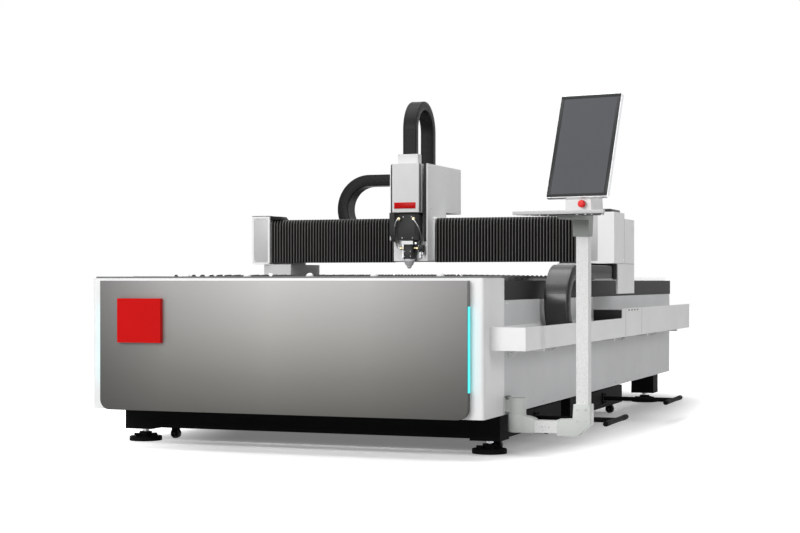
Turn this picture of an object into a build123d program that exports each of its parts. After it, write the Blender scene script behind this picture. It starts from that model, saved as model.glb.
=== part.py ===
"""Open-bed fiber laser cutting machine for sheet metal, millimetres, +Z up, standing on the floor.

+X is the operator's right, +Y runs from the front panel to the rear. Everything is placed from the
middle of the four corner feet, and the origin ends up under the middle of the whole floor plan.
"""
import os
from math import pi, radians, tan

from build123d import *

# Shared fits
RUN_GAP = 0.3            # running gap between pieces that slide or turn past each other
SHEET = 3                # folded sheet steel
CUT = 5                  # how far a cutting body runs past the face it opens

# Floor plan and levels of the bed
BODY_WIDTH = 1980
FOOT_INSET = 87          # body side to the middle of a foot
FOOT_SPAN_Y = 3454
MID_FOOT_BACK = 1280     # front feet to middle feet
PANEL_AHEAD = 403        # front feet to the face of the front panel
BODY_REAR_BEHIND = 401   # rear feet to the end of the side panels
BEAM_REAR_BEHIND = 451   # rear feet to the end of the rail beams
CABINET_REAR_AHEAD = 51  # front feet to the joint between cabinet and side panels
SKIRT_Z = 183            # lower edge of all panels
BAND_Z = 710             # underside of the rail beams
TOP_Z = 800              # top of the rail beams

# Feet
PAD_DIAMETER = 163
PAD_THICKNESS = 22
PAD_EDGE_RADIUS = 4
HUB_DIAMETER = 64
HUB_TOP = 44
HUB_RIB_LENGTH = 62
HUB_RIB_WIDTH = 14
HUB_RIB_TOP = 34
HUB_RIB_COUNT = 6
STUD_DIAMETER = 20
STUD_FOOT_Z = 14
STUD_TOP_CLEAR = 33      # stud inside the leg, below its top
NUT_ACROSS = 34
NUT_HEIGHT = 14
LEG_FOOT_Z = 62

# Welded bed frame
LEG_SIZE = 147
LOWER_RAIL_HEIGHT = 100
TUBE_WALL = 8
UPRIGHT_SIZE = 80
FOURTH_FRAME_BACK = 2420  # front feet to the cross member between the middle and rear feet
FRONT_RAIL_DEPTH = 60
FRONT_RAIL_LIFT = 10

# Panels and front cabinet
PANEL_SIDE_INSET = 64
PANEL_STAND_OFF = 38
PANEL_CORNER_RADIUS = 50
CABINET_RISE = 12        # cabinet's top above the rail beams
CABINET_CORNER_RADIUS = 16
CABINET_FLANGE = 110
STRIP_THICKNESS = 8
STRIP_SIDE_INSET = 12
STRIP_FRONT_INSET = 14
BADGE_WIDTH = 232
BADGE_HEIGHT = 210
BADGE_DEPTH = 25
BADGE_LEFT_INSET = 107
BADGE_TOP_DROP = 84
LED_FOOT_RISE = 120
LED_TOP_DROP = 115
LED_WIDTH = 22
LED_THICKNESS = 4

# Rail beams, guides and racks
BAND_INSET = 5           # beam side behind the plane of the side panels
BEAM_WIDTH = 180
GUIDE_WIDTH = 20
GUIDE_HEIGHT = 22
GUIDE_INSET = 130        # beam's outer side to the middle of the guide
RACK_WIDTH = 20
RACK_HEIGHT = 22
RACK_INSET = 30          # beam's outer side to the outer side of the rack
GUIDE_END_INSET = 18

# Cutting table
SLAT_END_GAP = 55        # rail beam to the end of a slat
SLAT_THICKNESS = 4
SLAT_FOOT_DROP = 60      # below the top of the rail beams
SLAT_ROOT_RISE = 6
SLAT_TIP_RISE = 30
SLAT_COUNT = 42
SLAT_LAST_BEHIND = 277.3  # rear feet to the last slat
SLAT_FIRST_BACK = 39     # cabinet's rear edge to the first slat
TOOTH_COUNT = 30
TOOTH_LAND_SHARE = 0.16  # flat at each tip, as a share of the tooth pitch
SLAT_SEAT = 25           # how far a slat reaches over its ledge
CARRIER_LEDGE_THICKNESS = 12
CARRIER_WALL = 8
BALL_DIAMETER = 36
BALL_RISE = 8            # ball above the slat tips
CUP_DIAMETER = 40
CUP_FOOT_DROP = 20
CUP_RIM_BELOW_BALL = 12
BALL_END_INSET = 82      # end of a slat to its last ball
BALLS_PER_ROW = 5
BALL_ROW_SLATS = (0, 3)

# Cable tray on the right side
TRAY_WIDTH = 166
TRAY_FLOOR_DROP = 313    # below the top of the rail beams
TRAY_LOW_WALL = 105
TRAY_HIGH_WALL = 158
TRAY_FRONT_AHEAD = 275   # front feet to the front end of the tray
TRAY_STEP_BACK = 1660    # front feet to the step in the outer wall
TRAY_REAR_BEHIND = 239   # rear feet to the rear end of the tray
BRACKETS_BACK = (54, 777, 1501, 2368, 3292)  # front feet to each bracket
BRACKET_WIDTH = 160
BRACKET_DROP = 46        # at the panel
BRACKET_TIP_DROP = 13
BRACKET_ROOT = 40        # deep part next to the panel
BRACKET_THICKNESS = 24

# Drag chains: link height, width across, mean bend radius, link pitch
CORE_INSET = 3           # web between links, below the link faces
CHAIN_SEAT = 0.8         # lower run above its tray or shelf
LINK_LENGTH_SHARE = 0.8
Y_LINK = 70
Y_CHAIN_WIDTH = 120
Y_BEND = 160
Y_PITCH = 42
Y_CHAIN_INSET = 23       # body side to the chain
Y_BEND_BACK = 741        # front feet to the middle of the bend
Y_FIXED_BACK = 1577
X_LINK = 67
X_CHAIN_WIDTH = 120
X_BEND = 170
X_PITCH = 42
X_CHAIN_BEHIND_BEAM = 60
X_BEND_LEFT = 277        # carriage's left side to the middle of the bend
X_FIXED_REACH = 426      # middle of the bend to the fixed end
Z_LINK = 50
Z_CHAIN_WIDTH = 78
Z_BEND = 150
Z_PITCH = 38
Z_CHAIN_RIGHT = 6        # middle of the carriage to the middle of the chain
Z_BEND_RISE = 194        # middle of the bend above the carriage

# Gantry
GANTRY_FRONT_Y = -120    # front face of the beam
BEAM_DEPTH = 180
BEAM_END_INSET = 44      # outer side of the rail beam to the end of the gantry beam
BEAM_CLEAR = 110         # rail beams to the underside of the gantry beam
BEAM_HEIGHT = 230
BEAM_WALL = 10
SADDLE_INNER_INSET = 6
SADDLE_OUTER_INSET = 1
SADDLE_AHEAD = 40        # saddle in front of the beam
SADDLE_LENGTH = 430
SADDLE_CLEAR = 12
CAP_WIDTH = 114
CAP_DEPTH = 250
CAP_AHEAD = 57           # cap in front of the beam
CAP_DROP = 14            # below the gantry beam
CAP_RISE = 40            # above the gantry beam
CAP_CORNER_RADIUS = 14
CAP_INSET_DEPTH = 2
CAP_BORDER = 12
COVER_WIDTH = 88
COVER_AHEAD = 89
COVER_FRONT_LENGTH = 256
COVER_LENGTH = 511
COVER_DROP = 15
COVER_RISE = 37
COVER_REAR_RISE = 7
APRON_DROP = 72          # below the top of the rail beams
APRON_BACK = 89          # apron starts this far behind the cover's front
APRON_THICKNESS = 10
CHAIN_LUG_LENGTH = 55
CHAIN_LUG_WIDTH = 70
PINION_DIAMETER = 40
PINION_HEIGHT = 18
PINION_LIFT = 3
PINION_ROOM = 4
SHAFT_DIAMETER = 14
Y_DRIVE_BACK = 50        # beam's rear face to the front of the drive
DRIVE_SIZE = 86
DRIVE_GEARBOX_HEIGHT = 34
DRIVE_MOTOR_SIZE = 80
DRIVE_MOTOR_HEIGHT = 78
X_GUIDE_SIZE = 20
X_GUIDE_END_INSET = 4
X_GUIDE_LOW_RISE = 50
X_GUIDE_HIGH_DROP = 50
X_RACK_DEPTH = 20
X_RACK_HEIGHT = 20
X_RACK_FROM_REAR = 20
SHELF_THICKNESS = 6
SHELF_RISE = 110
SHELF_LIP = 24
SHELF_END_INSET = 91
SHELF_MARGIN = 6

# Bellows
FOLD_AHEAD = 47          # ridges in front of the beam
FOLD_DROP = 5
FOLD_RISE = 20
FOLD_CHAMFER = 26
FOLD_DEPTH = 15
FOLD_SKIN = 3
FOLD_TOP_LENGTH = 110
FOLD_PITCH = 18

# Carriage
CARRIAGE_CENTRE_X = -36
CARRIAGE_WIDTH = 226
CARRIAGE_FRONT_AHEAD = 133
CHEEK_DEPTH = 109
CARRIAGE_FOOT_RISE = 2
CARRIAGE_RISE = 325      # top of the carriage above the gantry beam
HOUSING_CLEAR = 57       # rear housing above the gantry beam
CHEEK_SKIRT_CLEAR = 5    # cheeks' rear skirts above the bellows
CHEEK_SKIRT_BEHIND = 20  # cheeks' rear skirts behind the gantry beam
LEFT_CHEEK_RISE = 120    # gantry beam's foot to the lower edge of the left cheek's front
HOUSING_REAR_BEHIND = 293
BACK_PLATE_AHEAD = 70
BACK_PLATE_THICKNESS = 12
CHEEK_THICKNESS = 5
RUNNER_LENGTH = 105
RUNNER_WALL = 8
RUNNER_LIP = 12
MOTOR_PLATE_THICKNESS = 6
X_MOTOR_SIZE = 80
X_MOTOR_HEIGHT = 150
Z_GUIDE_SIZE = 14
Z_GUIDE_SPACING = 100
Z_GUIDE_FOOT_RISE = 18
Z_GUIDE_TOP_DROP = 25

# Head that rises and falls
COVER_Z_WIDTH = 162
Z_COVER_AHEAD = 54       # cover in front of the carriage cheeks
Z_COVER_HEIGHT = 276
Z_COVER_TOP_DROP = 2
Z_COVER_RADIUS = 4
CHAIN_BOX_WIDTH = 120
CHAIN_BOX_HEIGHT = 56
CHAIN_BOX_DEPTH = 60
HEAD_WIDTH = 126
HEAD_DEPTH = 66
HEAD_UPPER_HEIGHT = 157
HEAD_SHOULDER = 16
LOWER_HEAD_WIDTH = 58
LOWER_HEAD_HEIGHT = 106
HEAD_PLATE_WIDTH = 130
HEAD_AXIS_BACK = 12      # cheeks' front edge to the beam axis
DRAWER_WIDTH = 68
DRAWER_SLIDE_WIDTH = 40
DRAWER_HEIGHT = 20
DRAWER_STAND_OFF = 8
DRAWER_DEPTH = 44
DRAWER_DROP = 24         # below the head's waist
NOZZLE_COLLAR_DIAMETER = 62
NOZZLE_COLLAR_HEIGHT = 12
NOZZLE_CONE_DIAMETER = 40
NOZZLE_NUT_DIAMETER = 28
NOZZLE_NUT_HEIGHT = 9
NOZZLE_TIP_DIAMETER = 12
NOZZLE_LENGTH = 55
NOZZLE_BORE = 3
FITTING_DIAMETER = 14
FITTING_LENGTH = 26
FITTING_SPREAD = 44      # beam axis to an upper fitting
FITTING_HIGH_DROP = 37
FITTING_LOW_DROP = 45

# Console
SWIVEL_OUT = 53          # body side to the swivel axis
SWIVEL_AHEAD = 20        # front feet to the swivel axis
SWIVEL_DIAMETER = 82
SWIVEL_COLLAR_HEIGHT = 84
SWIVEL_SPLIT_RISE = 7    # above the lower edge of the panels
SWIVEL_DRUM_HEIGHT = 72
SWIVEL_PIN_DIAMETER = 30
SWIVEL_PIN_LENGTH = 50
SWIVEL_ARM_WIDTH = 60
SWIVEL_ARM_INSET = 8
ARM_REACH = 313
ARM_SIZE = 56
ARM_DROP = 56            # swivel joint to the middle of the arm
ELBOW_CHAMFER = 40       # outer lower corner
POST_TOP_Z = 1000
HEAD_PIN_DIAMETER = 24
HEAD_PIN_LENGTH = 50
HEAD_TURN = -9.5         # degrees about the post at rest
HEAD_BRACKET_HEIGHT = 96
HEAD_BRACKET_WIDTH = 82
HEAD_BRACKET_FRONT = 36  # post axis to the bracket's front
HEAD_BRACKET_BACK = 14   # post axis to the bracket's back
HEAD_BRACKET_FOOT_WIDTH = 74
HEAD_BRACKET_ARM = 190
HEAD_BRACKET_ARM_HEIGHT = 22
BOARD_WIDTH = 442
BOARD_LEFT = 230         # post axis to the left edge of the board
BOARD_FRONT = 266        # post axis to the front edge of the board
BOARD_DEPTH = 206
BOARD_THICKNESS = 12
BOARD_RADIUS = 14
BOARD_REAR_INSET = 92    # rear corners drawn in towards the post
BOX_LEFT = 54
BOX_RIGHT = 73
BOX_TOP_INSET = 4        # slope of the box's right side
BOX_FRONT = 80
BOX_DEPTH = 133
BOX_HEIGHT = 66
SCREEN_TILT = 20         # degrees back from upright
MONITOR_WIDTH = 300
MONITOR_HEIGHT = 507
MONITOR_THICKNESS = 22
MONITOR_FOOT_RISE = 66.5  # board's top to the monitor's lower front edge
MONITOR_CENTRE = 9       # post axis to the middle of the monitor
MONITOR_FOOT_FRONT = 105
MONITOR_RADIUS = 6
GLASS_INSET = 3
GLASS_THICKNESS = 4
NECK_WIDTH = 110
NECK_HEIGHT = 120
NECK_THICKNESS = 30
STOP_DIAMETER = 34
STOP_HEIGHT = 18
STOP_STEM_DIAMETER = 20
STOP_STEM_LENGTH = 14
STOP_TRAVEL = 6
STOP_COLLAR_DIAMETER = 34
STOP_COLLAR_HEIGHT = 5
STOP_RIGHT = 32          # post axis to the button axis
STOP_RISE = 36           # board top to the button axis

# Scrap carts
CART_LEFT_INSET = 120
CART_RIGHT_INSET = 27
CART_LENGTH = 980
CART_FRONT_BACK = 577    # front feet to the middle of the front cart
CART_PITCH = 1445
CART_FOOT_Z = 66
CART_TOP_CLEAR = 15      # cart below the frame
WHEEL_DIAMETER = 50
WHEEL_WIDTH = 22
WHEEL_END_INSET = 64     # cart's end to its axle, along X
WHEEL_SIDE_INSET = 50    # cart's side to the middle of a wheel, along Y
AXLE_DIAMETER = 12
FORK_THICKNESS = 6
FORK_WIDTH = 28
FORK_FOOT_Z = 12
FORK_GAP = 2             # wheel's side to a fork plate
HANDLE_DIAMETER = 25
HANDLE_REACH = 406
HANDLE_BAR = 450
HANDLE_Z = 120
HANDLE_FLANGE = 64
HANDLE_FLANGE_THICKNESS = 6

# Places worked out from the sizes above: floor plan of the bed
SIDE_X = BODY_WIDTH / 2
FOOT_X = SIDE_X - FOOT_INSET
FRONT_FOOT_Y = -FOOT_SPAN_Y / 2
REAR_FOOT_Y = FOOT_SPAN_Y / 2
MID_FOOT_Y = FRONT_FOOT_Y + MID_FOOT_BACK
FOURTH_FRAME_Y = FRONT_FOOT_Y + FOURTH_FRAME_BACK
PANEL_WIDTH = BODY_WIDTH - 2 * PANEL_SIDE_INSET
PANEL_FACE_Y = FRONT_FOOT_Y - PANEL_AHEAD
CABINET_FRONT_Y = PANEL_FACE_Y + PANEL_STAND_OFF
CABINET_REAR_Y = FRONT_FOOT_Y - CABINET_REAR_AHEAD
BODY_REAR_Y = REAR_FOOT_Y + BODY_REAR_BEHIND
BEAM_REAR_Y = REAR_FOOT_Y + BEAM_REAR_BEHIND
FRAME_OUTER_X = FOOT_X + LEG_SIZE / 2
FRAME_INNER_X = FOOT_X - LEG_SIZE / 2
BAND_OUTER_X = SIDE_X - BAND_INSET
BAND_INNER_X = BAND_OUTER_X - BEAM_WIDTH
GUIDE_X = BAND_OUTER_X - GUIDE_INSET
RACK_OUTER_X = BAND_OUTER_X - RACK_INSET
RACK_INNER_X = RACK_OUTER_X - RACK_WIDTH
PINION_RADIUS = PINION_DIAMETER / 2
Y_PINION_X = RACK_INNER_X - RUN_GAP - PINION_RADIUS
SLAT_LENGTH = 2 * (BAND_INNER_X - SLAT_END_GAP)
SLAT_FIRST_Y = CABINET_REAR_Y + SLAT_FIRST_BACK
SLAT_PITCH = (REAR_FOOT_Y + SLAT_LAST_BEHIND - SLAT_FIRST_Y) / (SLAT_COUNT - 1)
BALL_PITCH = (SLAT_LENGTH - 2 * BALL_END_INSET) / (BALLS_PER_ROW - 1)
TRAY_FRONT_Y = FRONT_FOOT_Y - TRAY_FRONT_AHEAD
TRAY_REAR_Y = REAR_FOOT_Y + TRAY_REAR_BEHIND
TRAY_STEP_Y = FRONT_FOOT_Y + TRAY_STEP_BACK

# Levels of the bed
LOWER_RAIL_TOP = SKIRT_Z + LOWER_RAIL_HEIGHT
STUD_TOP_Z = SKIRT_Z - STUD_TOP_CLEAR
CABINET_TOP_Z = TOP_Z + CABINET_RISE
LED_LOW_Z = SKIRT_Z + LED_FOOT_RISE
LED_HIGH_Z = TOP_Z - LED_TOP_DROP
SLAT_FOOT_Z = TOP_Z - SLAT_FOOT_DROP
SLAT_ROOT_Z = TOP_Z + SLAT_ROOT_RISE
SLAT_TIP_Z = TOP_Z + SLAT_TIP_RISE
BALL_TOP_Z = SLAT_TIP_Z + BALL_RISE
CUP_FOOT_Z = TOP_Z - CUP_FOOT_DROP
TRAY_FLOOR_Z = TOP_Z - TRAY_FLOOR_DROP
TRAY_LOW_WALL_Z = TRAY_FLOOR_Z + TRAY_LOW_WALL
TRAY_HIGH_WALL_Z = TRAY_FLOOR_Z + TRAY_HIGH_WALL

# Gantry, carriage and head
BEAM_REAR_FACE_Y = GANTRY_FRONT_Y + BEAM_DEPTH
BEAM_END_X = BAND_OUTER_X - BEAM_END_INSET
BEAM_FOOT_Z = TOP_Z + BEAM_CLEAR
BEAM_TOP_Z = BEAM_FOOT_Z + BEAM_HEIGHT
SADDLE_INNER_X = BAND_INNER_X + SADDLE_INNER_INSET
SADDLE_OUTER_X = BAND_OUTER_X - SADDLE_OUTER_INSET
SADDLE_FOOT_Z = TOP_Z + SADDLE_CLEAR
CAP_FRONT_Y = GANTRY_FRONT_Y - CAP_AHEAD
CAP_OUTER_X = BEAM_END_X + CAP_WIDTH
CAP_FOOT_Z = BEAM_FOOT_Z - CAP_DROP
CAP_TOP_Z = BEAM_TOP_Z + CAP_RISE
COVER_FRONT_Y = GANTRY_FRONT_Y - COVER_AHEAD
COVER_OUTER_X = CAP_OUTER_X + COVER_WIDTH
COVER_FOOT_Z = BEAM_FOOT_Z - COVER_DROP
COVER_TOP_Z = BEAM_TOP_Z + COVER_RISE
COVER_REAR_TOP_Z = BEAM_TOP_Z + COVER_REAR_RISE
APRON_FOOT_Z = TOP_Z - APRON_DROP
Y_DRIVE_Y = BEAM_REAR_FACE_Y + Y_DRIVE_BACK + DRIVE_SIZE / 2
X_GUIDE_LOW_Z = BEAM_FOOT_Z + X_GUIDE_LOW_RISE
X_GUIDE_HIGH_Z = BEAM_TOP_Z - X_GUIDE_HIGH_DROP
SHELF_Z = BEAM_FOOT_Z + SHELF_RISE
SHELF_LENGTH = 2 * (BEAM_END_X - SHELF_END_INSET)
FOLD_FOOT_Z = BEAM_FOOT_Z - FOLD_DROP
FOLD_TOP_Z = BEAM_TOP_Z + FOLD_RISE
CARRIAGE_LEFT_X = CARRIAGE_CENTRE_X - CARRIAGE_WIDTH / 2
CARRIAGE_RIGHT_X = CARRIAGE_CENTRE_X + CARRIAGE_WIDTH / 2
CARRIAGE_FOOT_Z = BEAM_FOOT_Z + CARRIAGE_FOOT_RISE
CARRIAGE_TOP_Z = BEAM_TOP_Z + CARRIAGE_RISE
HOUSING_FOOT_Z = BEAM_TOP_Z + HOUSING_CLEAR
CHEEK_FRONT_Y = GANTRY_FRONT_Y - CARRIAGE_FRONT_AHEAD
BACK_PLATE_Y = GANTRY_FRONT_Y - BACK_PLATE_AHEAD
HOUSING_REAR_Y = BEAM_REAR_FACE_Y + HOUSING_REAR_BEHIND
X_RACK_REAR_Y = BEAM_REAR_FACE_Y - X_RACK_FROM_REAR
X_PINION_Y = X_RACK_REAR_Y + RUN_GAP + PINION_RADIUS
Z_GUIDE_FRONT_Y = BACK_PLATE_Y - Z_GUIDE_SIZE
Z_GUIDE_FOOT_Z = CARRIAGE_FOOT_Z + Z_GUIDE_FOOT_RISE
Z_GUIDE_TOP_Z = CARRIAGE_TOP_Z - Z_GUIDE_TOP_DROP
Z_BEND_Z = CARRIAGE_TOP_Z + Z_BEND_RISE
HEAD_AXIS_Y = CHEEK_FRONT_Y + HEAD_AXIS_BACK
HEAD_BACK_Y = Z_GUIDE_FRONT_Y - RUN_GAP
Z_COVER_FRONT_Y = CHEEK_FRONT_Y - Z_COVER_AHEAD
Z_COVER_TOP_Z = CARRIAGE_TOP_Z - Z_COVER_TOP_DROP
Z_COVER_FOOT_Z = Z_COVER_TOP_Z - Z_COVER_HEIGHT
CHAIN_BOX_TOP_Z = Z_COVER_TOP_Z + CHAIN_BOX_HEIGHT
HEAD_WAIST_Z = Z_COVER_FOOT_Z - HEAD_UPPER_HEIGHT
LOWER_HEAD_FOOT_Z = HEAD_WAIST_Z - LOWER_HEAD_HEIGHT
DRAWER_Z = HEAD_WAIST_Z - DRAWER_DROP
NOZZLE_TIP_Z = LOWER_HEAD_FOOT_Z - NOZZLE_LENGTH
FITTING_HIGH_Z = Z_COVER_FOOT_Z - FITTING_HIGH_DROP
FITTING_LOW_Z = HEAD_WAIST_Z - FITTING_LOW_DROP

# Console and carts
SWIVEL_X = SIDE_X + SWIVEL_OUT
SWIVEL_Y = FRONT_FOOT_Y - SWIVEL_AHEAD
SWIVEL_SPLIT_Z = SKIRT_Z + SWIVEL_SPLIT_RISE
SWIVEL_TOP_Z = SWIVEL_SPLIT_Z + SWIVEL_DRUM_HEIGHT
SWIVEL_FOOT_Z = SWIVEL_SPLIT_Z - SWIVEL_COLLAR_HEIGHT
ARM_Z = SWIVEL_SPLIT_Z - ARM_DROP
POST_X = SWIVEL_X + ARM_REACH
HEAD_BRACKET_TOP_Z = POST_TOP_Z + HEAD_BRACKET_HEIGHT
BOARD_TOP_Z = HEAD_BRACKET_TOP_Z + BOARD_THICKNESS
BOX_TOP_Z = BOARD_TOP_Z + BOX_HEIGHT
MONITOR_FOOT_Z = BOARD_TOP_Z + MONITOR_FOOT_RISE
CART_LEFT_X = CART_LEFT_INSET - SIDE_X
CART_RIGHT_X = SIDE_X - CART_RIGHT_INSET
CART_TOP_Z = SKIRT_Z - CART_TOP_CLEAR
CART_Y = {"front": FRONT_FOOT_Y + CART_FRONT_BACK}
CART_Y["rear"] = CART_Y["front"] + CART_PITCH
SIDES = {"left": -1, "right": 1}

nodes = {}


def block(x0, x1, y0, y1, z0, z1):
    """Box between two corners, whichever way round they are given."""
    size = Box(abs(x1 - x0), abs(y1 - y0), abs(z1 - z0))
    return Pos((x0 + x1) / 2, (y0 + y1) / 2, (z0 + z1) / 2) * size


def post(x, y, z0, z1, diameter):
    """Upright round bar."""
    return Pos(x, y, (z0 + z1) / 2) * Cylinder(diameter / 2, z1 - z0)


def bar_x(x0, x1, y, z, diameter):
    """Round bar along X."""
    return Pos((x0 + x1) / 2, y, z) * Rot(0, 90, 0) * Cylinder(diameter / 2, abs(x1 - x0))


def bar_y(x, y0, y1, z, diameter):
    """Round bar along Y."""
    return Pos(x, (y0 + y1) / 2, z) * Rot(90, 0, 0) * Cylinder(diameter / 2, abs(y1 - y0))


def group(solids):
    return Compound(children=list(solids))


# Feet, studs and the welded frame
def foot_places():
    return [(side * FOOT_X, y) for y in (FRONT_FOOT_Y, MID_FOOT_Y, REAR_FOOT_Y) for side in SIDES.values()]


def foot_pad():
    pad = post(0, 0, 0, PAD_THICKNESS, PAD_DIAMETER)
    pad = fillet(pad.edges().group_by(Axis.Z)[-1], PAD_EDGE_RADIUS)
    pad += post(0, 0, 0, HUB_TOP, HUB_DIAMETER)
    rib = block(0, HUB_RIB_LENGTH, -HUB_RIB_WIDTH / 2, HUB_RIB_WIDTH / 2, 0, HUB_RIB_TOP)
    for turn in range(HUB_RIB_COUNT):
        pad += Rot(0, 0, turn * 360 / HUB_RIB_COUNT) * rib
    return pad - post(0, 0, STUD_FOOT_Z, HUB_TOP + CUT, STUD_DIAMETER + 2 * RUN_GAP)


def foot_stud():
    nut = extrude(RegularPolygon(NUT_ACROSS / 2, 6, major_radius=False), NUT_HEIGHT)
    return post(0, 0, STUD_FOOT_Z, STUD_TOP_Z, STUD_DIAMETER) + Pos(0, 0, LEG_FOOT_Z - NUT_HEIGHT) * nut


def frame_leg(x, y):
    half = LEG_SIZE / 2
    leg = block(x - half, x + half, y - half, y + half, LEG_FOOT_Z, SKIRT_Z)
    return leg - post(x, y, LEG_FOOT_Z - CUT, STUD_TOP_Z + CUT, STUD_DIAMETER + 2 * RUN_GAP)


def side_rail(side):
    tube = block(side * FRAME_INNER_X, side * FRAME_OUTER_X, CABINET_REAR_Y, BODY_REAR_Y - SHEET,
                 SKIRT_Z, LOWER_RAIL_TOP)
    return tube - block(side * (FRAME_INNER_X + TUBE_WALL), side * (FRAME_OUTER_X - TUBE_WALL),
                        CABINET_REAR_Y - CUT, BODY_REAR_Y + CUT,
                        SKIRT_Z + TUBE_WALL, LOWER_RAIL_TOP - TUBE_WALL)


def bed_frame():
    """Legs, rails, cross members and uprights, butted face to face as they are welded."""
    members = [frame_leg(x, y) for x, y in foot_places()]
    half = UPRIGHT_SIZE / 2
    for y in (FRONT_FOOT_Y, MID_FOOT_Y, FOURTH_FRAME_Y, REAR_FOOT_Y):
        members.append(block(-FRAME_INNER_X, FRAME_INNER_X, y - half, y + half, SKIRT_Z, LOWER_RAIL_TOP))
        for side in SIDES.values():
            x = side * FOOT_X
            members.append(block(x - half, x + half, y - half, y + half, LOWER_RAIL_TOP, BAND_Z))
    members += [side_rail(side) for side in SIDES.values()]
    rail_y = FRONT_FOOT_Y - LEG_SIZE / 2
    members.append(block(-FRAME_INNER_X, FRAME_INNER_X, rail_y, rail_y + FRONT_RAIL_DEPTH,
                         LEG_FOOT_Z + FRONT_RAIL_LIFT, SKIRT_Z))
    return group(members)


nodes["foot_pads"] = group(Pos(x, y, 0) * foot_pad() for x, y in foot_places())
nodes["foot_studs"] = group(Pos(x, y, 0) * foot_stud() for x, y in foot_places())
nodes["bed_frame"] = bed_frame()


# Sheet panels and the front cabinet
def side_panel(side):
    outer, inner = side * SIDE_X, side * (SIDE_X - SHEET)
    panel = block(inner, outer, CABINET_REAR_Y, BODY_REAR_Y, SKIRT_Z, BAND_Z)
    panel += block(side * FRAME_OUTER_X, outer, CABINET_REAR_Y, BODY_REAR_Y - SHEET, SKIRT_Z, SKIRT_Z + SHEET)
    return panel + block(side * FRAME_OUTER_X, outer, CABINET_REAR_Y, BODY_REAR_Y - SHEET,
                         BAND_Z - SHEET, BAND_Z)


def front_cabinet():
    shell = block(-SIDE_X, SIDE_X, CABINET_FRONT_Y, CABINET_REAR_Y, SKIRT_Z, CABINET_TOP_Z)
    front_edges = shell.edges().filter_by(Axis.Z).group_by(Axis.Y)[0]
    shell = fillet(front_edges, CABINET_CORNER_RADIUS)
    inside = block(-SIDE_X + SHEET, SIDE_X - SHEET, CABINET_FRONT_Y + SHEET, CABINET_REAR_Y + CUT,
                   SKIRT_Z - CUT, CABINET_TOP_Z - SHEET)
    inner_edges = inside.edges().filter_by(Axis.Z).group_by(Axis.Y)[0]
    shell -= fillet(inner_edges, CABINET_CORNER_RADIUS - SHEET)
    for side in SIDES.values():
        shell += block(side * (SIDE_X - CABINET_FLANGE), side * (SIDE_X - SHEET / 2),
                       CABINET_REAR_Y - SHEET, CABINET_REAR_Y, SKIRT_Z, CABINET_TOP_Z - SHEET / 2)
    return shell


def front_panel():
    half = PANEL_WIDTH / 2
    pan = block(-half, half, PANEL_FACE_Y, CABINET_FRONT_Y, SKIRT_Z, TOP_Z)
    low_edges = pan.edges().filter_by(Axis.Y).group_by(Axis.Z)[0]
    pan = fillet(low_edges, PANEL_CORNER_RADIUS)
    inside = block(-half + SHEET, half - SHEET, PANEL_FACE_Y + SHEET, CABINET_FRONT_Y + CUT,
                   SKIRT_Z + SHEET, TOP_Z - SHEET)
    inner_edges = inside.edges().filter_by(Axis.Y).group_by(Axis.Z)[0]
    return pan - fillet(inner_edges, PANEL_CORNER_RADIUS - SHEET)


for name, side in SIDES.items():
    nodes[f"side_panel_{name}"] = side_panel(side)
nodes["front_cabinet"] = front_cabinet()
nodes["front_panel"] = front_panel()
badge_x = -PANEL_WIDTH / 2 + BADGE_LEFT_INSET
badge_z = TOP_Z - BADGE_TOP_DROP
nodes["badge_plate"] = block(badge_x, badge_x + BADGE_WIDTH, PANEL_FACE_Y - BADGE_DEPTH, PANEL_FACE_Y,
                             badge_z - BADGE_HEIGHT, badge_z)
led_y = (PANEL_FACE_Y + CABINET_FRONT_Y) / 2
nodes["led_strips"] = group(
    block(side * PANEL_WIDTH / 2, side * (PANEL_WIDTH / 2 + LED_THICKNESS), led_y - LED_WIDTH / 2,
          led_y + LED_WIDTH / 2, LED_LOW_Z, LED_HIGH_Z) for side in SIDES.values())
nodes["front_top_strip"] = block(-SIDE_X + STRIP_SIDE_INSET, SIDE_X - STRIP_SIDE_INSET,
                                 CABINET_FRONT_Y + STRIP_FRONT_INSET, CABINET_REAR_Y,
                                 CABINET_TOP_Z, CABINET_TOP_Z + STRIP_THICKNESS)
nodes["rear_panel"] = block(-SIDE_X + SHEET, SIDE_X - SHEET, BODY_REAR_Y - SHEET, BODY_REAR_Y, SKIRT_Z, BAND_Z)


# Rail beams with their guides and racks
def rail_beam(side):
    tube = block(side * BAND_INNER_X, side * BAND_OUTER_X, CABINET_REAR_Y, BEAM_REAR_Y, BAND_Z, TOP_Z)
    return tube - block(side * (BAND_INNER_X + TUBE_WALL), side * (BAND_OUTER_X - TUBE_WALL),
                        CABINET_REAR_Y - CUT, BEAM_REAR_Y - TUBE_WALL, BAND_Z + TUBE_WALL, TOP_Z - TUBE_WALL)


def y_guides():
    low, high = CABINET_REAR_Y + GUIDE_END_INSET, BEAM_REAR_Y - GUIDE_END_INSET
    bars = []
    for side in SIDES.values():
        middle = side * GUIDE_X
        bars.append(block(middle - GUIDE_WIDTH / 2, middle + GUIDE_WIDTH / 2, low, high,
                          TOP_Z, TOP_Z + GUIDE_HEIGHT))
        bars.append(block(side * RACK_INNER_X, side * RACK_OUTER_X, low, high, TOP_Z, TOP_Z + RACK_HEIGHT))
    return group(bars)


for name, side in SIDES.items():
    nodes[f"rail_beam_{name}"] = rail_beam(side)
nodes["y_guides"] = y_guides()


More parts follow.
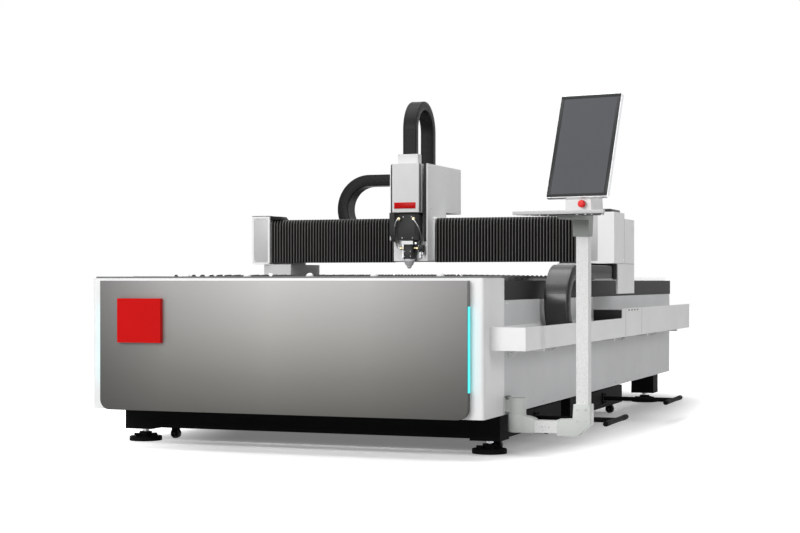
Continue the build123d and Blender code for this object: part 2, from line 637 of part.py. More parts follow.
# Cutting table: ledges, serrated slats and ball units
def slat():
    pitch = SLAT_LENGTH / TOOTH_COUNT
    land = pitch * TOOTH_LAND_SHARE / 2
    left = -SLAT_LENGTH / 2
    outline = [(left, SLAT_FOOT_Z), (left, SLAT_ROOT_Z)]
    for tooth in range(TOOTH_COUNT):
        middle = left + (tooth + 0.5) * pitch
        outline.append((middle - land, SLAT_TIP_Z))
        outline.append((middle + land, SLAT_TIP_Z))
        outline.append((middle + pitch / 2, SLAT_ROOT_Z))
    outline.append((-left, SLAT_FOOT_Z))
    return extrude(Plane.XZ * Polygon(*outline, align=None), SLAT_THICKNESS / 2, both=True)


def slat_y(index):
    return SLAT_FIRST_Y + index * SLAT_PITCH


def slat_carrier(side):
    ledge_x = SLAT_LENGTH / 2 - SLAT_SEAT
    first = CABINET_REAR_Y
    last = slat_y(SLAT_COUNT - 1) + SLAT_FIRST_BACK
    ledge = block(side * ledge_x, side * BAND_INNER_X, first, last,
                  SLAT_FOOT_Z - CARRIER_LEDGE_THICKNESS, SLAT_FOOT_Z)
    return ledge + block(side * (BAND_INNER_X - CARRIER_WALL), side * BAND_INNER_X, first, last,
                         SLAT_FOOT_Z, TOP_Z)


def ball_unit():
    centre_z = BALL_TOP_Z - BALL_DIAMETER / 2
    unit = post(0, 0, CUP_FOOT_Z, BALL_TOP_Z - CUP_RIM_BELOW_BALL, CUP_DIAMETER)
    unit += Pos(0, 0, centre_z) * Sphere(BALL_DIAMETER / 2)
    reach = CUP_DIAMETER
    slot_top = SLAT_TIP_Z - BALL_DIAMETER / 2
    return unit - block(-reach, reach, -SLAT_THICKNESS / 2 - RUN_GAP, SLAT_THICKNESS / 2 + RUN_GAP,
                        CUP_FOOT_Z - CUT, slot_top)


def ball_places():
    first = -(BALLS_PER_ROW - 1) / 2
    return [((first + n) * BALL_PITCH, slat_y(row)) for row in BALL_ROW_SLATS for n in range(BALLS_PER_ROW)]


def cut_slat(index):
    """One slat, notched where ball units sit on it."""
    blade = Pos(0, slat_y(index), 0) * slat()
    reach = CUP_DIAMETER / 2 + RUN_GAP
    notch_z = SLAT_TIP_Z - BALL_DIAMETER / 2 - RUN_GAP
    notches = [block(x - reach, x + reach, y - reach, y + reach, notch_z, SLAT_TIP_Z + CUT)
               for x, y in ball_places() if index in BALL_ROW_SLATS and y == slat_y(index)]
    return blade.cut(*notches) if notches else blade


nodes["slat_carriers"] = group(slat_carrier(side) for side in SIDES.values())
nodes["support_slats"] = group(cut_slat(index) for index in range(SLAT_COUNT))
nodes["loading_balls"] = group(Pos(x, y, 0) * ball_unit() for x, y in ball_places())


# Cable tray and its brackets
def cable_tray():
    outer_x = SIDE_X + TRAY_WIDTH
    tray = block(SIDE_X, outer_x, TRAY_FRONT_Y, TRAY_REAR_Y, TRAY_FLOOR_Z, TRAY_FLOOR_Z + SHEET)
    tray += block(outer_x - SHEET, outer_x, TRAY_FRONT_Y, TRAY_REAR_Y, TRAY_FLOOR_Z, TRAY_LOW_WALL_Z)
    tray += block(outer_x - SHEET, outer_x, TRAY_STEP_Y, TRAY_REAR_Y, TRAY_FLOOR_Z, TRAY_HIGH_WALL_Z)
    tray += block(SIDE_X, SIDE_X + SHEET, TRAY_FRONT_Y, TRAY_REAR_Y, TRAY_FLOOR_Z, TRAY_LOW_WALL_Z)
    tray += block(SIDE_X, outer_x, TRAY_FRONT_Y, TRAY_FRONT_Y + SHEET, TRAY_FLOOR_Z, TRAY_LOW_WALL_Z)
    return tray + block(SIDE_X, outer_x, TRAY_REAR_Y - SHEET, TRAY_REAR_Y, TRAY_FLOOR_Z, TRAY_LOW_WALL_Z)


def tray_bracket(y):
    tip = SIDE_X + BRACKET_WIDTH
    outline = Polygon((SIDE_X, TRAY_FLOOR_Z), (tip, TRAY_FLOOR_Z), (tip, TRAY_FLOOR_Z - BRACKET_TIP_DROP),
                      (SIDE_X + BRACKET_ROOT, TRAY_FLOOR_Z - BRACKET_TIP_DROP),
                      (SIDE_X, TRAY_FLOOR_Z - BRACKET_DROP), align=None)
    return Pos(0, y, 0) * extrude(Plane.XZ * outline, BRACKET_THICKNESS / 2, both=True)


nodes["cable_tray"] = cable_tray()
nodes["tray_brackets"] = group(tray_bracket(FRONT_FOOT_Y + back) for back in BRACKETS_BACK)


# Drag chains: a slim web bent into a U, with one raised link per pitch
def u_web(lower, upper, bend, height):
    """U in the XZ plane: both runs lead to +X, the bend's middle is the origin."""
    web = Pos(0, 0) * Circle(bend + height / 2) - Circle(bend - height / 2)
    reach = 2 * bend + height
    web -= Pos(reach / 2, 0) * Rectangle(reach, 2 * reach)
    web += Pos(lower / 2, -bend) * Rectangle(lower, height)
    return web + Pos(upper / 2, bend) * Rectangle(upper, height)


def drag_chain(lower, upper, bend, link, pitch, width):
    """Chain in the XZ plane with its bend towards -X; widths run along Y."""
    section = Plane.XZ * u_web(lower, upper, bend, link - 2 * CORE_INSET)
    web = extrude(section, width / 2 - CORE_INSET, both=True)
    plate = Box(pitch * LINK_LENGTH_SHARE, width, link)
    plates = []
    for run, z in ((lower, -bend), (upper, bend)):
        count = int(run // pitch)
        step = run / count
        plates += [Pos((n + 0.5) * step, 0, z) * plate for n in range(count)]
    count = int(pi * bend // pitch)
    for n in range(count):
        turn = 180 * (n + 0.5) / count
        plates.append(Rot(0, turn, 0) * Pos(0, 0, -bend) * plate)
    return web.fuse(*plates)


y_chain_x = SIDE_X + Y_CHAIN_INSET + Y_CHAIN_WIDTH / 2
y_chain_low_z = TRAY_FLOOR_Z + SHEET + CHAIN_SEAT + Y_LINK / 2
y_bend_y = FRONT_FOOT_Y + Y_BEND_BACK
y_chain_top_z = y_chain_low_z + 2 * Y_BEND + Y_LINK / 2
y_lug_y = COVER_FRONT_Y + CHAIN_LUG_LENGTH
y_chain = drag_chain(FRONT_FOOT_Y + Y_FIXED_BACK - y_bend_y, y_lug_y - y_bend_y, Y_BEND, Y_LINK,
                     Y_PITCH, Y_CHAIN_WIDTH)
nodes["y_drag_chain"] = Pos(y_chain_x, y_bend_y, y_chain_low_z + Y_BEND) * Rot(0, 0, 90) * y_chain


# Gantry: beam, saddles, end caps, drive cover and drives
def gantry_beam():
    tube = block(-BEAM_END_X, BEAM_END_X, GANTRY_FRONT_Y, BEAM_REAR_FACE_Y, BEAM_FOOT_Z, BEAM_TOP_Z)
    return tube - block(-BEAM_END_X - CUT, BEAM_END_X + CUT, GANTRY_FRONT_Y + BEAM_WALL,
                        BEAM_REAR_FACE_Y - BEAM_WALL, BEAM_FOOT_Z + BEAM_WALL, BEAM_TOP_Z - BEAM_WALL)


def saddle(side):
    front = GANTRY_FRONT_Y - SADDLE_AHEAD
    rear = front + SADDLE_LENGTH
    body = block(side * SADDLE_INNER_X, side * SADDLE_OUTER_X, front, rear, SADDLE_FOOT_Z, CAP_FOOT_Z)
    body += block(side * SADDLE_INNER_X, side * BEAM_END_X, GANTRY_FRONT_Y, BEAM_REAR_FACE_Y,
                  CAP_FOOT_Z, BEAM_FOOT_Z)
    guide_room = GUIDE_WIDTH / 2 + RUN_GAP
    middle = side * GUIDE_X
    body -= block(middle - guide_room, middle + guide_room, front - CUT, rear + CUT,
                  SADDLE_FOOT_Z - CUT, TOP_Z + GUIDE_HEIGHT + RUN_GAP)
    body -= block(side * (RACK_INNER_X - PINION_ROOM), side * (RACK_OUTER_X + PINION_ROOM),
                  front - CUT, rear + CUT, SADDLE_FOOT_Z - CUT, TOP_Z + RACK_HEIGHT + PINION_ROOM)
    axis_x = side * Y_PINION_X
    body -= post(axis_x, Y_DRIVE_Y, SADDLE_FOOT_Z - CUT, TOP_Z + RACK_HEIGHT + PINION_ROOM,
                 PINION_DIAMETER + 2 * PINION_ROOM)
    return body - post(axis_x, Y_DRIVE_Y, SADDLE_FOOT_Z, CAP_FOOT_Z + CUT, SHAFT_DIAMETER + 2 * RUN_GAP)


def y_pinion(side):
    gear_z = TOP_Z + PINION_LIFT
    gear = post(side * Y_PINION_X, Y_DRIVE_Y, gear_z, gear_z + PINION_HEIGHT, PINION_DIAMETER)
    return gear + post(side * Y_PINION_X, Y_DRIVE_Y, gear_z, CAP_FOOT_Z - RUN_GAP, SHAFT_DIAMETER)


def y_motor(side):
    half = DRIVE_SIZE / 2
    x = side * Y_PINION_X
    gearbox_top = CAP_FOOT_Z + DRIVE_GEARBOX_HEIGHT
    gearbox = block(x - half, x + half, Y_DRIVE_Y - half, Y_DRIVE_Y + half, CAP_FOOT_Z, gearbox_top)
    half = DRIVE_MOTOR_SIZE / 2
    return gearbox + block(x - half, x + half, Y_DRIVE_Y - half, Y_DRIVE_Y + half,
                           gearbox_top, gearbox_top + DRIVE_MOTOR_HEIGHT)


def end_cap(side):
    rear = CAP_FRONT_Y + CAP_DEPTH
    cap = block(side * BEAM_END_X, side * CAP_OUTER_X, CAP_FRONT_Y, rear, CAP_FOOT_Z, CAP_TOP_Z)
    cap = fillet(cap.edges().filter_by(Axis.Y).group_by(Axis.Z)[0], CAP_CORNER_RADIUS)
    cap -= block(side * (BEAM_END_X + SHEET), side * (CAP_OUTER_X - SHEET),
                 CAP_FRONT_Y + SHEET + CAP_INSET_DEPTH, rear - SHEET, CAP_FOOT_Z - CUT, CAP_TOP_Z - SHEET)
    return cap - block(side * (BEAM_END_X + CAP_BORDER), side * (CAP_OUTER_X - CAP_BORDER),
                       CAP_FRONT_Y - CUT, CAP_FRONT_Y + CAP_INSET_DEPTH,
                       CAP_FOOT_Z + CAP_BORDER, CAP_TOP_Z - CAP_BORDER)


def drive_cover():
    rear = COVER_FRONT_Y + COVER_LENGTH
    step = COVER_FRONT_Y + COVER_FRONT_LENGTH
    cover = block(CAP_OUTER_X, COVER_OUTER_X, COVER_FRONT_Y, rear, COVER_FOOT_Z, COVER_REAR_TOP_Z)
    cover += block(CAP_OUTER_X, COVER_OUTER_X, COVER_FRONT_Y, step, COVER_FOOT_Z, COVER_TOP_Z)
    room_x = COVER_OUTER_X - APRON_THICKNESS
    cover -= block(CAP_OUTER_X + SHEET, room_x, y_lug_y, rear - SHEET, COVER_FOOT_Z - CUT,
                   COVER_REAR_TOP_Z - SHEET)
    cover -= block(CAP_OUTER_X + SHEET, room_x, y_lug_y, step - SHEET, COVER_FOOT_Z - CUT,
                   COVER_TOP_Z - SHEET)
    cover += block(room_x, COVER_OUTER_X, COVER_FRONT_Y + APRON_BACK, rear, APRON_FOOT_Z, COVER_FOOT_Z)
    return cover + block(y_chain_x - CHAIN_LUG_WIDTH / 2 + SHEET, y_chain_x + CHAIN_LUG_WIDTH / 2,
                         COVER_FRONT_Y, y_lug_y, y_chain_top_z, COVER_FOOT_Z)


def x_guides():
    face = GANTRY_FRONT_Y
    end = BEAM_END_X - X_GUIDE_END_INSET
    bars = [block(-end, end, face - X_GUIDE_SIZE, face, z - X_GUIDE_SIZE / 2, z + X_GUIDE_SIZE / 2)
            for z in (X_GUIDE_LOW_Z, X_GUIDE_HIGH_Z)]
    bars.append(block(-end, end, X_RACK_REAR_Y - X_RACK_DEPTH, X_RACK_REAR_Y,
                      BEAM_TOP_Z, BEAM_TOP_Z + X_RACK_HEIGHT))
    return group(bars)


def chain_shelf():
    half = SHELF_LENGTH / 2
    rear = BEAM_REAR_FACE_Y + X_CHAIN_BEHIND_BEAM + X_CHAIN_WIDTH + SHELF_MARGIN
    shelf = block(-half, half, BEAM_REAR_FACE_Y, rear, SHELF_Z, SHELF_Z + SHELF_THICKNESS)
    return shelf + block(-half, half, rear - SHEET, rear, SHELF_Z, SHELF_Z + SHELF_LIP)


nodes["gantry_beam"] = gantry_beam()
for name, side in SIDES.items():
    nodes[f"saddle_{name}"] = saddle(side)
    nodes[f"y_pinion_{name}"] = y_pinion(side)
    nodes[f"end_cap_{name}"] = end_cap(side)
nodes["y_motors"] = group(y_motor(side) for side in SIDES.values())
nodes["drive_cover"] = drive_cover()
nodes["x_guides"] = x_guides()
nodes["x_chain_shelf"] = chain_shelf()

x_chain_y = BEAM_REAR_FACE_Y + X_CHAIN_BEHIND_BEAM + X_CHAIN_WIDTH / 2
x_chain_low_z = SHELF_Z + SHELF_THICKNESS + CHAIN_SEAT + X_LINK / 2
x_bend_x = CARRIAGE_LEFT_X - X_BEND_LEFT
x_chain = drag_chain(X_FIXED_REACH, X_BEND_LEFT, X_BEND, X_LINK, X_PITCH, X_CHAIN_WIDTH)
nodes["x_drag_chain"] = Pos(x_bend_x, x_chain_y, x_chain_low_z + X_BEND) * x_chain


# Bellows over the guides, one each side of the carriage
def fold_section(x, inset):
    """Cross-section of the folded skin at one ridge or valley."""
    ridge_y = GANTRY_FRONT_Y - FOLD_AHEAD + inset
    top = FOLD_TOP_Z - inset
    back = GANTRY_FRONT_Y - FOLD_AHEAD + FOLD_TOP_LENGTH
    inner = FOLD_CHAMFER - FOLD_SKIN * tan(radians(45) / 2)
    points = [(ridge_y, FOLD_FOOT_Z), (ridge_y, top - FOLD_CHAMFER), (ridge_y + FOLD_CHAMFER, top), (back, top),
              (back, top - FOLD_SKIN), (ridge_y + FOLD_SKIN + inner, top - FOLD_SKIN),
              (ridge_y + FOLD_SKIN, top - FOLD_SKIN - inner), (ridge_y + FOLD_SKIN, FOLD_FOOT_Z)]
    return Pos(x, 0, 0) * (Plane.YZ * Polygon(*points, align=None))


def bellows(x0, x1):
    folds = round(abs(x1 - x0) / FOLD_PITCH)
    step = (x1 - x0) / (2 * folds)
    sections = [fold_section(x0 + n * step, FOLD_DEPTH * (1 - n % 2)) for n in range(2 * folds + 1)]
    return loft(sections, ruled=True)


nodes["bellows_left"] = bellows(-BEAM_END_X, CARRIAGE_LEFT_X)
nodes["bellows_right"] = bellows(CARRIAGE_RIGHT_X, BEAM_END_X)


# Carriage on the beam
def runner(z):
    """Block on the back plate that wraps one guide of the beam."""
    half = X_GUIDE_SIZE / 2 + RUN_GAP
    lip_y = GANTRY_FRONT_Y - X_GUIDE_SIZE + RUNNER_LIP
    wrap = block(CARRIAGE_CENTRE_X - RUNNER_LENGTH, CARRIAGE_CENTRE_X + RUNNER_LENGTH, BACK_PLATE_Y, lip_y,
                 z - half - RUNNER_WALL, z + half + RUNNER_WALL)
    reach = 2 * RUNNER_LENGTH
    return wrap - block(-reach, reach, GANTRY_FRONT_Y - X_GUIDE_SIZE - RUN_GAP, lip_y + CUT, z - half, z + half)


def carriage_housing():
    left, right = CARRIAGE_LEFT_X, CARRIAGE_RIGHT_X
    inner_left, inner_right = left + CHEEK_THICKNESS, right - CHEEK_THICKNESS
    plate_back = BACK_PLATE_Y + BACK_PLATE_THICKNESS
    cheek_back = CHEEK_FRONT_Y + CHEEK_DEPTH
    body = block(left, right, CHEEK_FRONT_Y, cheek_back, CARRIAGE_FOOT_Z, CARRIAGE_TOP_Z)
    body -= block(inner_left, inner_right, plate_back, cheek_back + CUT, CARRIAGE_FOOT_Z - CUT, HOUSING_FOOT_Z)
    body += block(left, right, CHEEK_FRONT_Y, HOUSING_REAR_Y, HOUSING_FOOT_Z, CARRIAGE_TOP_Z)
    for outer, inner in ((left, inner_left), (inner_right, right)):
        body += block(outer, inner, cheek_back, BEAM_REAR_FACE_Y + CHEEK_SKIRT_BEHIND,
                      FOLD_TOP_Z + CHEEK_SKIRT_CLEAR, HOUSING_FOOT_Z)
    body -= block(left - CUT, inner_left, CHEEK_FRONT_Y - CUT, BACK_PLATE_Y,
                  CARRIAGE_FOOT_Z - CUT, BEAM_FOOT_Z + LEFT_CHEEK_RISE)
    body -= block(inner_left, inner_right, CHEEK_FRONT_Y - CUT, BACK_PLATE_Y,
                  CARRIAGE_FOOT_Z - CUT, CARRIAGE_TOP_Z + CUT)
    body -= block(inner_left, inner_right, plate_back, HOUSING_REAR_Y - CHEEK_THICKNESS,
                  HOUSING_FOOT_Z + MOTOR_PLATE_THICKNESS, CARRIAGE_TOP_Z - CHEEK_THICKNESS)
    body -= post(CARRIAGE_CENTRE_X, X_PINION_Y, HOUSING_FOOT_Z - CUT,
                 HOUSING_FOOT_Z + CUT + MOTOR_PLATE_THICKNESS, SHAFT_DIAMETER + 2 * RUN_GAP)
    return body + runner(X_GUIDE_LOW_Z) + runner(X_GUIDE_HIGH_Z)


def x_motor():
    half = X_MOTOR_SIZE / 2
    foot = HOUSING_FOOT_Z + MOTOR_PLATE_THICKNESS
    return block(CARRIAGE_CENTRE_X - half, CARRIAGE_CENTRE_X + half, X_PINION_Y - half, X_PINION_Y + half,
                 foot, foot + X_MOTOR_HEIGHT)


def x_pinion():
    foot = BEAM_TOP_Z + PINION_LIFT
    gear = post(CARRIAGE_CENTRE_X, X_PINION_Y, foot, foot + PINION_HEIGHT, PINION_DIAMETER)
    return gear + post(CARRIAGE_CENTRE_X, X_PINION_Y, foot, HOUSING_FOOT_Z + MOTOR_PLATE_THICKNESS - RUN_GAP,
                       SHAFT_DIAMETER)


def z_guides():
    bars = []
    for side in SIDES.values():
        middle = CARRIAGE_CENTRE_X + side * Z_GUIDE_SPACING / 2
        bars.append(block(middle - Z_GUIDE_SIZE / 2, middle + Z_GUIDE_SIZE / 2, Z_GUIDE_FRONT_Y, BACK_PLATE_Y,
                          Z_GUIDE_FOOT_Z, Z_GUIDE_TOP_Z))
    return group(bars)


nodes["carriage_housing"] = carriage_housing()
nodes["x_motor"] = x_motor()
nodes["x_pinion"] = x_pinion()
nodes["z_guides"] = z_guides()

z_leg_front_y = HEAD_BACK_Y - CHAIN_BOX_DEPTH / 2
z_chain = drag_chain(Z_BEND_Z - CHAIN_BOX_TOP_Z, Z_BEND_Z - CARRIAGE_TOP_Z, Z_BEND, Z_LINK,
                     Z_PITCH, Z_CHAIN_WIDTH)
z_place = Pos(CARRIAGE_CENTRE_X + Z_CHAIN_RIGHT, z_leg_front_y + Z_BEND, Z_BEND_Z)
nodes["z_drag_chain"] = z_place * Rot(0, 0, 90) * Rot(0, 90, 0) * z_chain


# Head: cover, cutting head, lens drawer, nozzle and fittings
def z_cover():
    half = COVER_Z_WIDTH / 2
    left, right = CARRIAGE_CENTRE_X - half, CARRIAGE_CENTRE_X + half
    cover = block(left, right, Z_COVER_FRONT_Y, HEAD_BACK_Y, Z_COVER_FOOT_Z, Z_COVER_TOP_Z)
    cover = fillet(cover.edges().filter_by(Axis.Z).group_by(Axis.Y)[0], Z_COVER_RADIUS)
    cover -= block(left + SHEET, right - SHEET, Z_COVER_FRONT_Y + SHEET, HEAD_BACK_Y + CUT,
                   Z_COVER_FOOT_Z + SHEET, Z_COVER_TOP_Z - SHEET)
    box = CHAIN_BOX_WIDTH / 2
    return cover + block(CARRIAGE_CENTRE_X - box, CARRIAGE_CENTRE_X + box,
                         HEAD_BACK_Y - CHAIN_BOX_DEPTH, HEAD_BACK_Y, Z_COVER_TOP_Z, CHAIN_BOX_TOP_Z)


def head_rows(half_width, half_depth, z0, z1):
    return block(CARRIAGE_CENTRE_X - half_width, CARRIAGE_CENTRE_X + half_width,
                 HEAD_AXIS_Y - half_depth, HEAD_AXIS_Y + half_depth, z0, z1)


def cutting_head():
    upper = head_rows(HEAD_WIDTH / 2, HEAD_DEPTH / 2, HEAD_WAIST_Z, Z_COVER_FOOT_Z)
    upper = chamfer(upper.edges().filter_by(Axis.Z), HEAD_SHOULDER)
    lower_half = LOWER_HEAD_WIDTH / 2
    lower = head_rows(lower_half, lower_half, LOWER_HEAD_FOOT_Z, HEAD_WAIST_Z)
    lower = fillet(lower.edges().filter_by(Axis.Z), HEAD_SHOULDER)
    room = DRAWER_SLIDE_WIDTH / 2 + RUN_GAP
    lower -= block(CARRIAGE_CENTRE_X - room, CARRIAGE_CENTRE_X + room, HEAD_AXIS_Y - 2 * lower_half,
                   HEAD_AXIS_Y - lower_half + DRAWER_DEPTH, DRAWER_Z, DRAWER_Z + DRAWER_HEIGHT)
    half = HEAD_PLATE_WIDTH / 2
    plate = block(CARRIAGE_CENTRE_X - half, CARRIAGE_CENTRE_X + half, HEAD_AXIS_Y + HEAD_DEPTH / 2, HEAD_BACK_Y,
                  HEAD_WAIST_Z, Z_COVER_FOOT_Z)
    return upper + lower + plate


def lens_drawer():
    half = DRAWER_WIDTH / 2
    face = HEAD_AXIS_Y - LOWER_HEAD_WIDTH / 2
    low, high = DRAWER_Z + RUN_GAP / 2, DRAWER_Z + DRAWER_HEIGHT - RUN_GAP / 2
    handle = block(CARRIAGE_CENTRE_X - half, CARRIAGE_CENTRE_X + half, face - DRAWER_STAND_OFF, face, low, high)
    slide = DRAWER_SLIDE_WIDTH / 2
    return handle + block(CARRIAGE_CENTRE_X - slide, CARRIAGE_CENTRE_X + slide, face, face + DRAWER_DEPTH,
                          low, high)


def nozzle():
    cone_top = LOWER_HEAD_FOOT_Z - NOZZLE_COLLAR_HEIGHT
    nut_z = NOZZLE_TIP_Z + NOZZLE_NUT_HEIGHT
    nut_top = nut_z + NOZZLE_NUT_HEIGHT
    outline = [(0, LOWER_HEAD_FOOT_Z), (NOZZLE_COLLAR_DIAMETER / 2, LOWER_HEAD_FOOT_Z),
               (NOZZLE_COLLAR_DIAMETER / 2, cone_top), (NOZZLE_CONE_DIAMETER / 2, nut_top),
               (NOZZLE_NUT_DIAMETER / 2, nut_top), (NOZZLE_NUT_DIAMETER / 2, nut_z),
               (NOZZLE_TIP_DIAMETER / 2, NOZZLE_TIP_Z), (0, NOZZLE_TIP_Z)]
    body = revolve(Plane.XZ * Polygon(*outline, align=None), Axis.Z)
    body -= post(0, 0, NOZZLE_TIP_Z - CUT, nut_top, NOZZLE_BORE)
    return Pos(CARRIAGE_CENTRE_X, HEAD_AXIS_Y, 0) * body


def head_fittings():
    pieces = []
    front = HEAD_AXIS_Y - HEAD_DEPTH / 2
    for side in SIDES.values():
        x = CARRIAGE_CENTRE_X + side * FITTING_SPREAD
        pieces.append(bar_y(x, front - FITTING_LENGTH, front, FITTING_HIGH_Z, FITTING_DIAMETER))
        face = CARRIAGE_CENTRE_X + side * LOWER_HEAD_WIDTH / 2
        pieces.append(bar_x(face, face + side * FITTING_LENGTH, HEAD_AXIS_Y, FITTING_LOW_Z, FITTING_DIAMETER))
    return group(pieces)


nodes["z_cover"] = z_cover()
nodes["cutting_head"] = cutting_head()
nodes["lens_drawer"] = lens_drawer()
nodes["nozzle"] = nozzle()
nodes["head_fittings"] = head_fittings()


# Console arm on its swivel
def swivel_bracket():
    half = SWIVEL_ARM_WIDTH / 2
    drum = post(SWIVEL_X, SWIVEL_Y, SWIVEL_SPLIT_Z, SWIVEL_TOP_Z, SWIVEL_DIAMETER)
    drum += block(SIDE_X, SWIVEL_X, SWIVEL_Y - half, SWIVEL_Y + half,
                  SWIVEL_SPLIT_Z + SWIVEL_ARM_INSET, SWIVEL_TOP_Z - SWIVEL_ARM_INSET)
    return drum - post(SWIVEL_X, SWIVEL_Y, SWIVEL_SPLIT_Z - CUT, SWIVEL_SPLIT_Z + SWIVEL_PIN_LENGTH + RUN_GAP,
                       SWIVEL_PIN_DIAMETER + 2 * RUN_GAP)


def console_arm():
    half = ARM_SIZE / 2
    low, high = ARM_Z - half, ARM_Z + half
    outline = Polygon((SWIVEL_X, low), (POST_X + half - ELBOW_CHAMFER, low),
                      (POST_X + half, low + ELBOW_CHAMFER), (POST_X + half, POST_TOP_Z),
                      (POST_X - half, POST_TOP_Z), (POST_X - half, high), (SWIVEL_X, high),
                      align=None)
    arm = Pos(0, SWIVEL_Y, 0) * extrude(Plane.XZ * outline, half, both=True)
    collar_top = SWIVEL_SPLIT_Z - RUN_GAP
    arm += post(SWIVEL_X, SWIVEL_Y, SWIVEL_FOOT_Z, collar_top, SWIVEL_DIAMETER)
    arm += post(SWIVEL_X, SWIVEL_Y, collar_top, SWIVEL_SPLIT_Z + SWIVEL_PIN_LENGTH, SWIVEL_PIN_DIAMETER)
    return arm - post(POST_X, SWIVEL_Y, POST_TOP_Z - HEAD_PIN_LENGTH - RUN_GAP, POST_TOP_Z + CUT,
                      HEAD_PIN_DIAMETER + 2 * RUN_GAP)


nodes["swivel_bracket"] = swivel_bracket()
nodes["console_arm"] = console_arm()


# Console head, drawn about the post axis and then turned
def head_bracket():
    foot = POST_TOP_Z + RUN_GAP
    wide, narrow = HEAD_BRACKET_WIDTH / 2, HEAD_BRACKET_FOOT_WIDTH / 2
    shape = Polygon((-narrow, foot), (narrow, foot), (wide, HEAD_BRACKET_TOP_Z), (-wide, HEAD_BRACKET_TOP_Z),
                    align=None)
    depth = HEAD_BRACKET_FRONT + HEAD_BRACKET_BACK
    body = Pos(0, HEAD_BRACKET_BACK, 0) * extrude(Plane.XZ * shape, depth)
    body += block(-wide, wide, -HEAD_BRACKET_ARM, HEAD_BRACKET_BACK,
                  HEAD_BRACKET_TOP_Z - HEAD_BRACKET_ARM_HEIGHT, HEAD_BRACKET_TOP_Z)
    return body + post(0, 0, POST_TOP_Z - HEAD_PIN_LENGTH, foot, HEAD_PIN_DIAMETER)


def keyboard_tray():
    right, rear = BOARD_WIDTH - BOARD_LEFT, BOARD_DEPTH - BOARD_FRONT
    outline = Polygon((-BOARD_LEFT, -BOARD_FRONT), (right, -BOARD_FRONT),
                      (right - BOARD_REAR_INSET, rear), (BOARD_REAR_INSET - BOARD_LEFT, rear), align=None)
    board = Pos(0, 0, HEAD_BRACKET_TOP_Z) * extrude(outline, BOARD_THICKNESS)
    return fillet(board.edges().filter_by(Axis.Z), BOARD_RADIUS)


def monitor_frame():
    """Plane at the middle of the monitor's lower front edge, leaning back with the screen."""
    return Pos(MONITOR_CENTRE, -MONITOR_FOOT_FRONT, MONITOR_FOOT_Z) * Rot(-SCREEN_TILT, 0, 0)


def control_box():
    back = BOX_DEPTH - BOX_FRONT
    shape = Polygon((-BOX_LEFT, BOARD_TOP_Z), (BOX_RIGHT, BOARD_TOP_Z), (BOX_RIGHT - BOX_TOP_INSET, BOX_TOP_Z),
                    (-BOX_LEFT, BOX_TOP_Z), align=None)
    body = Pos(0, (back - BOX_FRONT) / 2, 0) * extrude(Plane.XZ * shape, BOX_DEPTH / 2, both=True)
    half = NECK_WIDTH / 2
    neck = monitor_frame() * block(-half, half, MONITOR_THICKNESS, MONITOR_THICKNESS + NECK_THICKNESS,
                                   0, NECK_HEIGHT)
    stem_room = STOP_STEM_DIAMETER + 2 * RUN_GAP
    stop_z = BOARD_TOP_Z + STOP_RISE
    body += neck
    collar_y = -BOX_FRONT - STOP_COLLAR_HEIGHT
    body += bar_y(STOP_RIGHT, collar_y, -BOX_FRONT, stop_z, STOP_COLLAR_DIAMETER)
    stem_end_y = collar_y + STOP_STEM_LENGTH + STOP_TRAVEL + RUN_GAP
    return body - bar_y(STOP_RIGHT, collar_y - CUT, stem_end_y, stop_z, stem_room)


def e_stop_button():
    stop_z = BOARD_TOP_Z + STOP_RISE
    face = -BOX_FRONT - STOP_COLLAR_HEIGHT - STOP_TRAVEL - RUN_GAP
    cap = bar_y(STOP_RIGHT, face - STOP_HEIGHT, face, stop_z, STOP_DIAMETER)
    cap = fillet(cap.edges().group_by(Axis.Y)[0], STOP_HEIGHT / 2)
    return cap + bar_y(STOP_RIGHT, face, face + STOP_STEM_LENGTH, stop_z, STOP_STEM_DIAMETER)


def monitor_shell():
    half = MONITOR_WIDTH / 2
    shell = block(-half, half, 0, MONITOR_THICKNESS, 0, MONITOR_HEIGHT)
    shell = fillet(shell.edges().filter_by(Axis.Y), MONITOR_RADIUS)
    return shell - block(-half + GLASS_INSET, half - GLASS_INSET, -CUT, GLASS_THICKNESS, GLASS_INSET,
                         MONITOR_HEIGHT - GLASS_INSET)


def monitor_screen():
    half = MONITOR_WIDTH / 2 - GLASS_INSET
    return block(-half, half, 0, GLASS_THICKNESS, GLASS_INSET, MONITOR_HEIGHT - GLASS_INSET)


head_place = Pos(POST_X, SWIVEL_Y, 0) * Rot(0, 0, HEAD_TURN)
nodes["head_bracket"] = head_place * head_bracket()
nodes["keyboard_tray"] = head_place * keyboard_tray()
nodes["control_box"] = head_place * control_box()
nodes["e_stop_button"] = head_place * e_stop_button()
nodes["monitor_shell"] = head_place * monitor_frame() * monitor_shell()
nodes["monitor_screen"] = head_place * monitor_frame() * monitor_screen()


# Scrap carts with their handles and wheelsets
def axle_x(end):
    return CART_LEFT_X + WHEEL_END_INSET if end == "left" else CART_RIGHT_X - WHEEL_END_INSET


def wheel_rows(y):
    """The two wheel planes of a cart standing at y."""
    return [y + side * (CART_LENGTH / 2 - WHEEL_SIDE_INSET) for side in SIDES.values()]


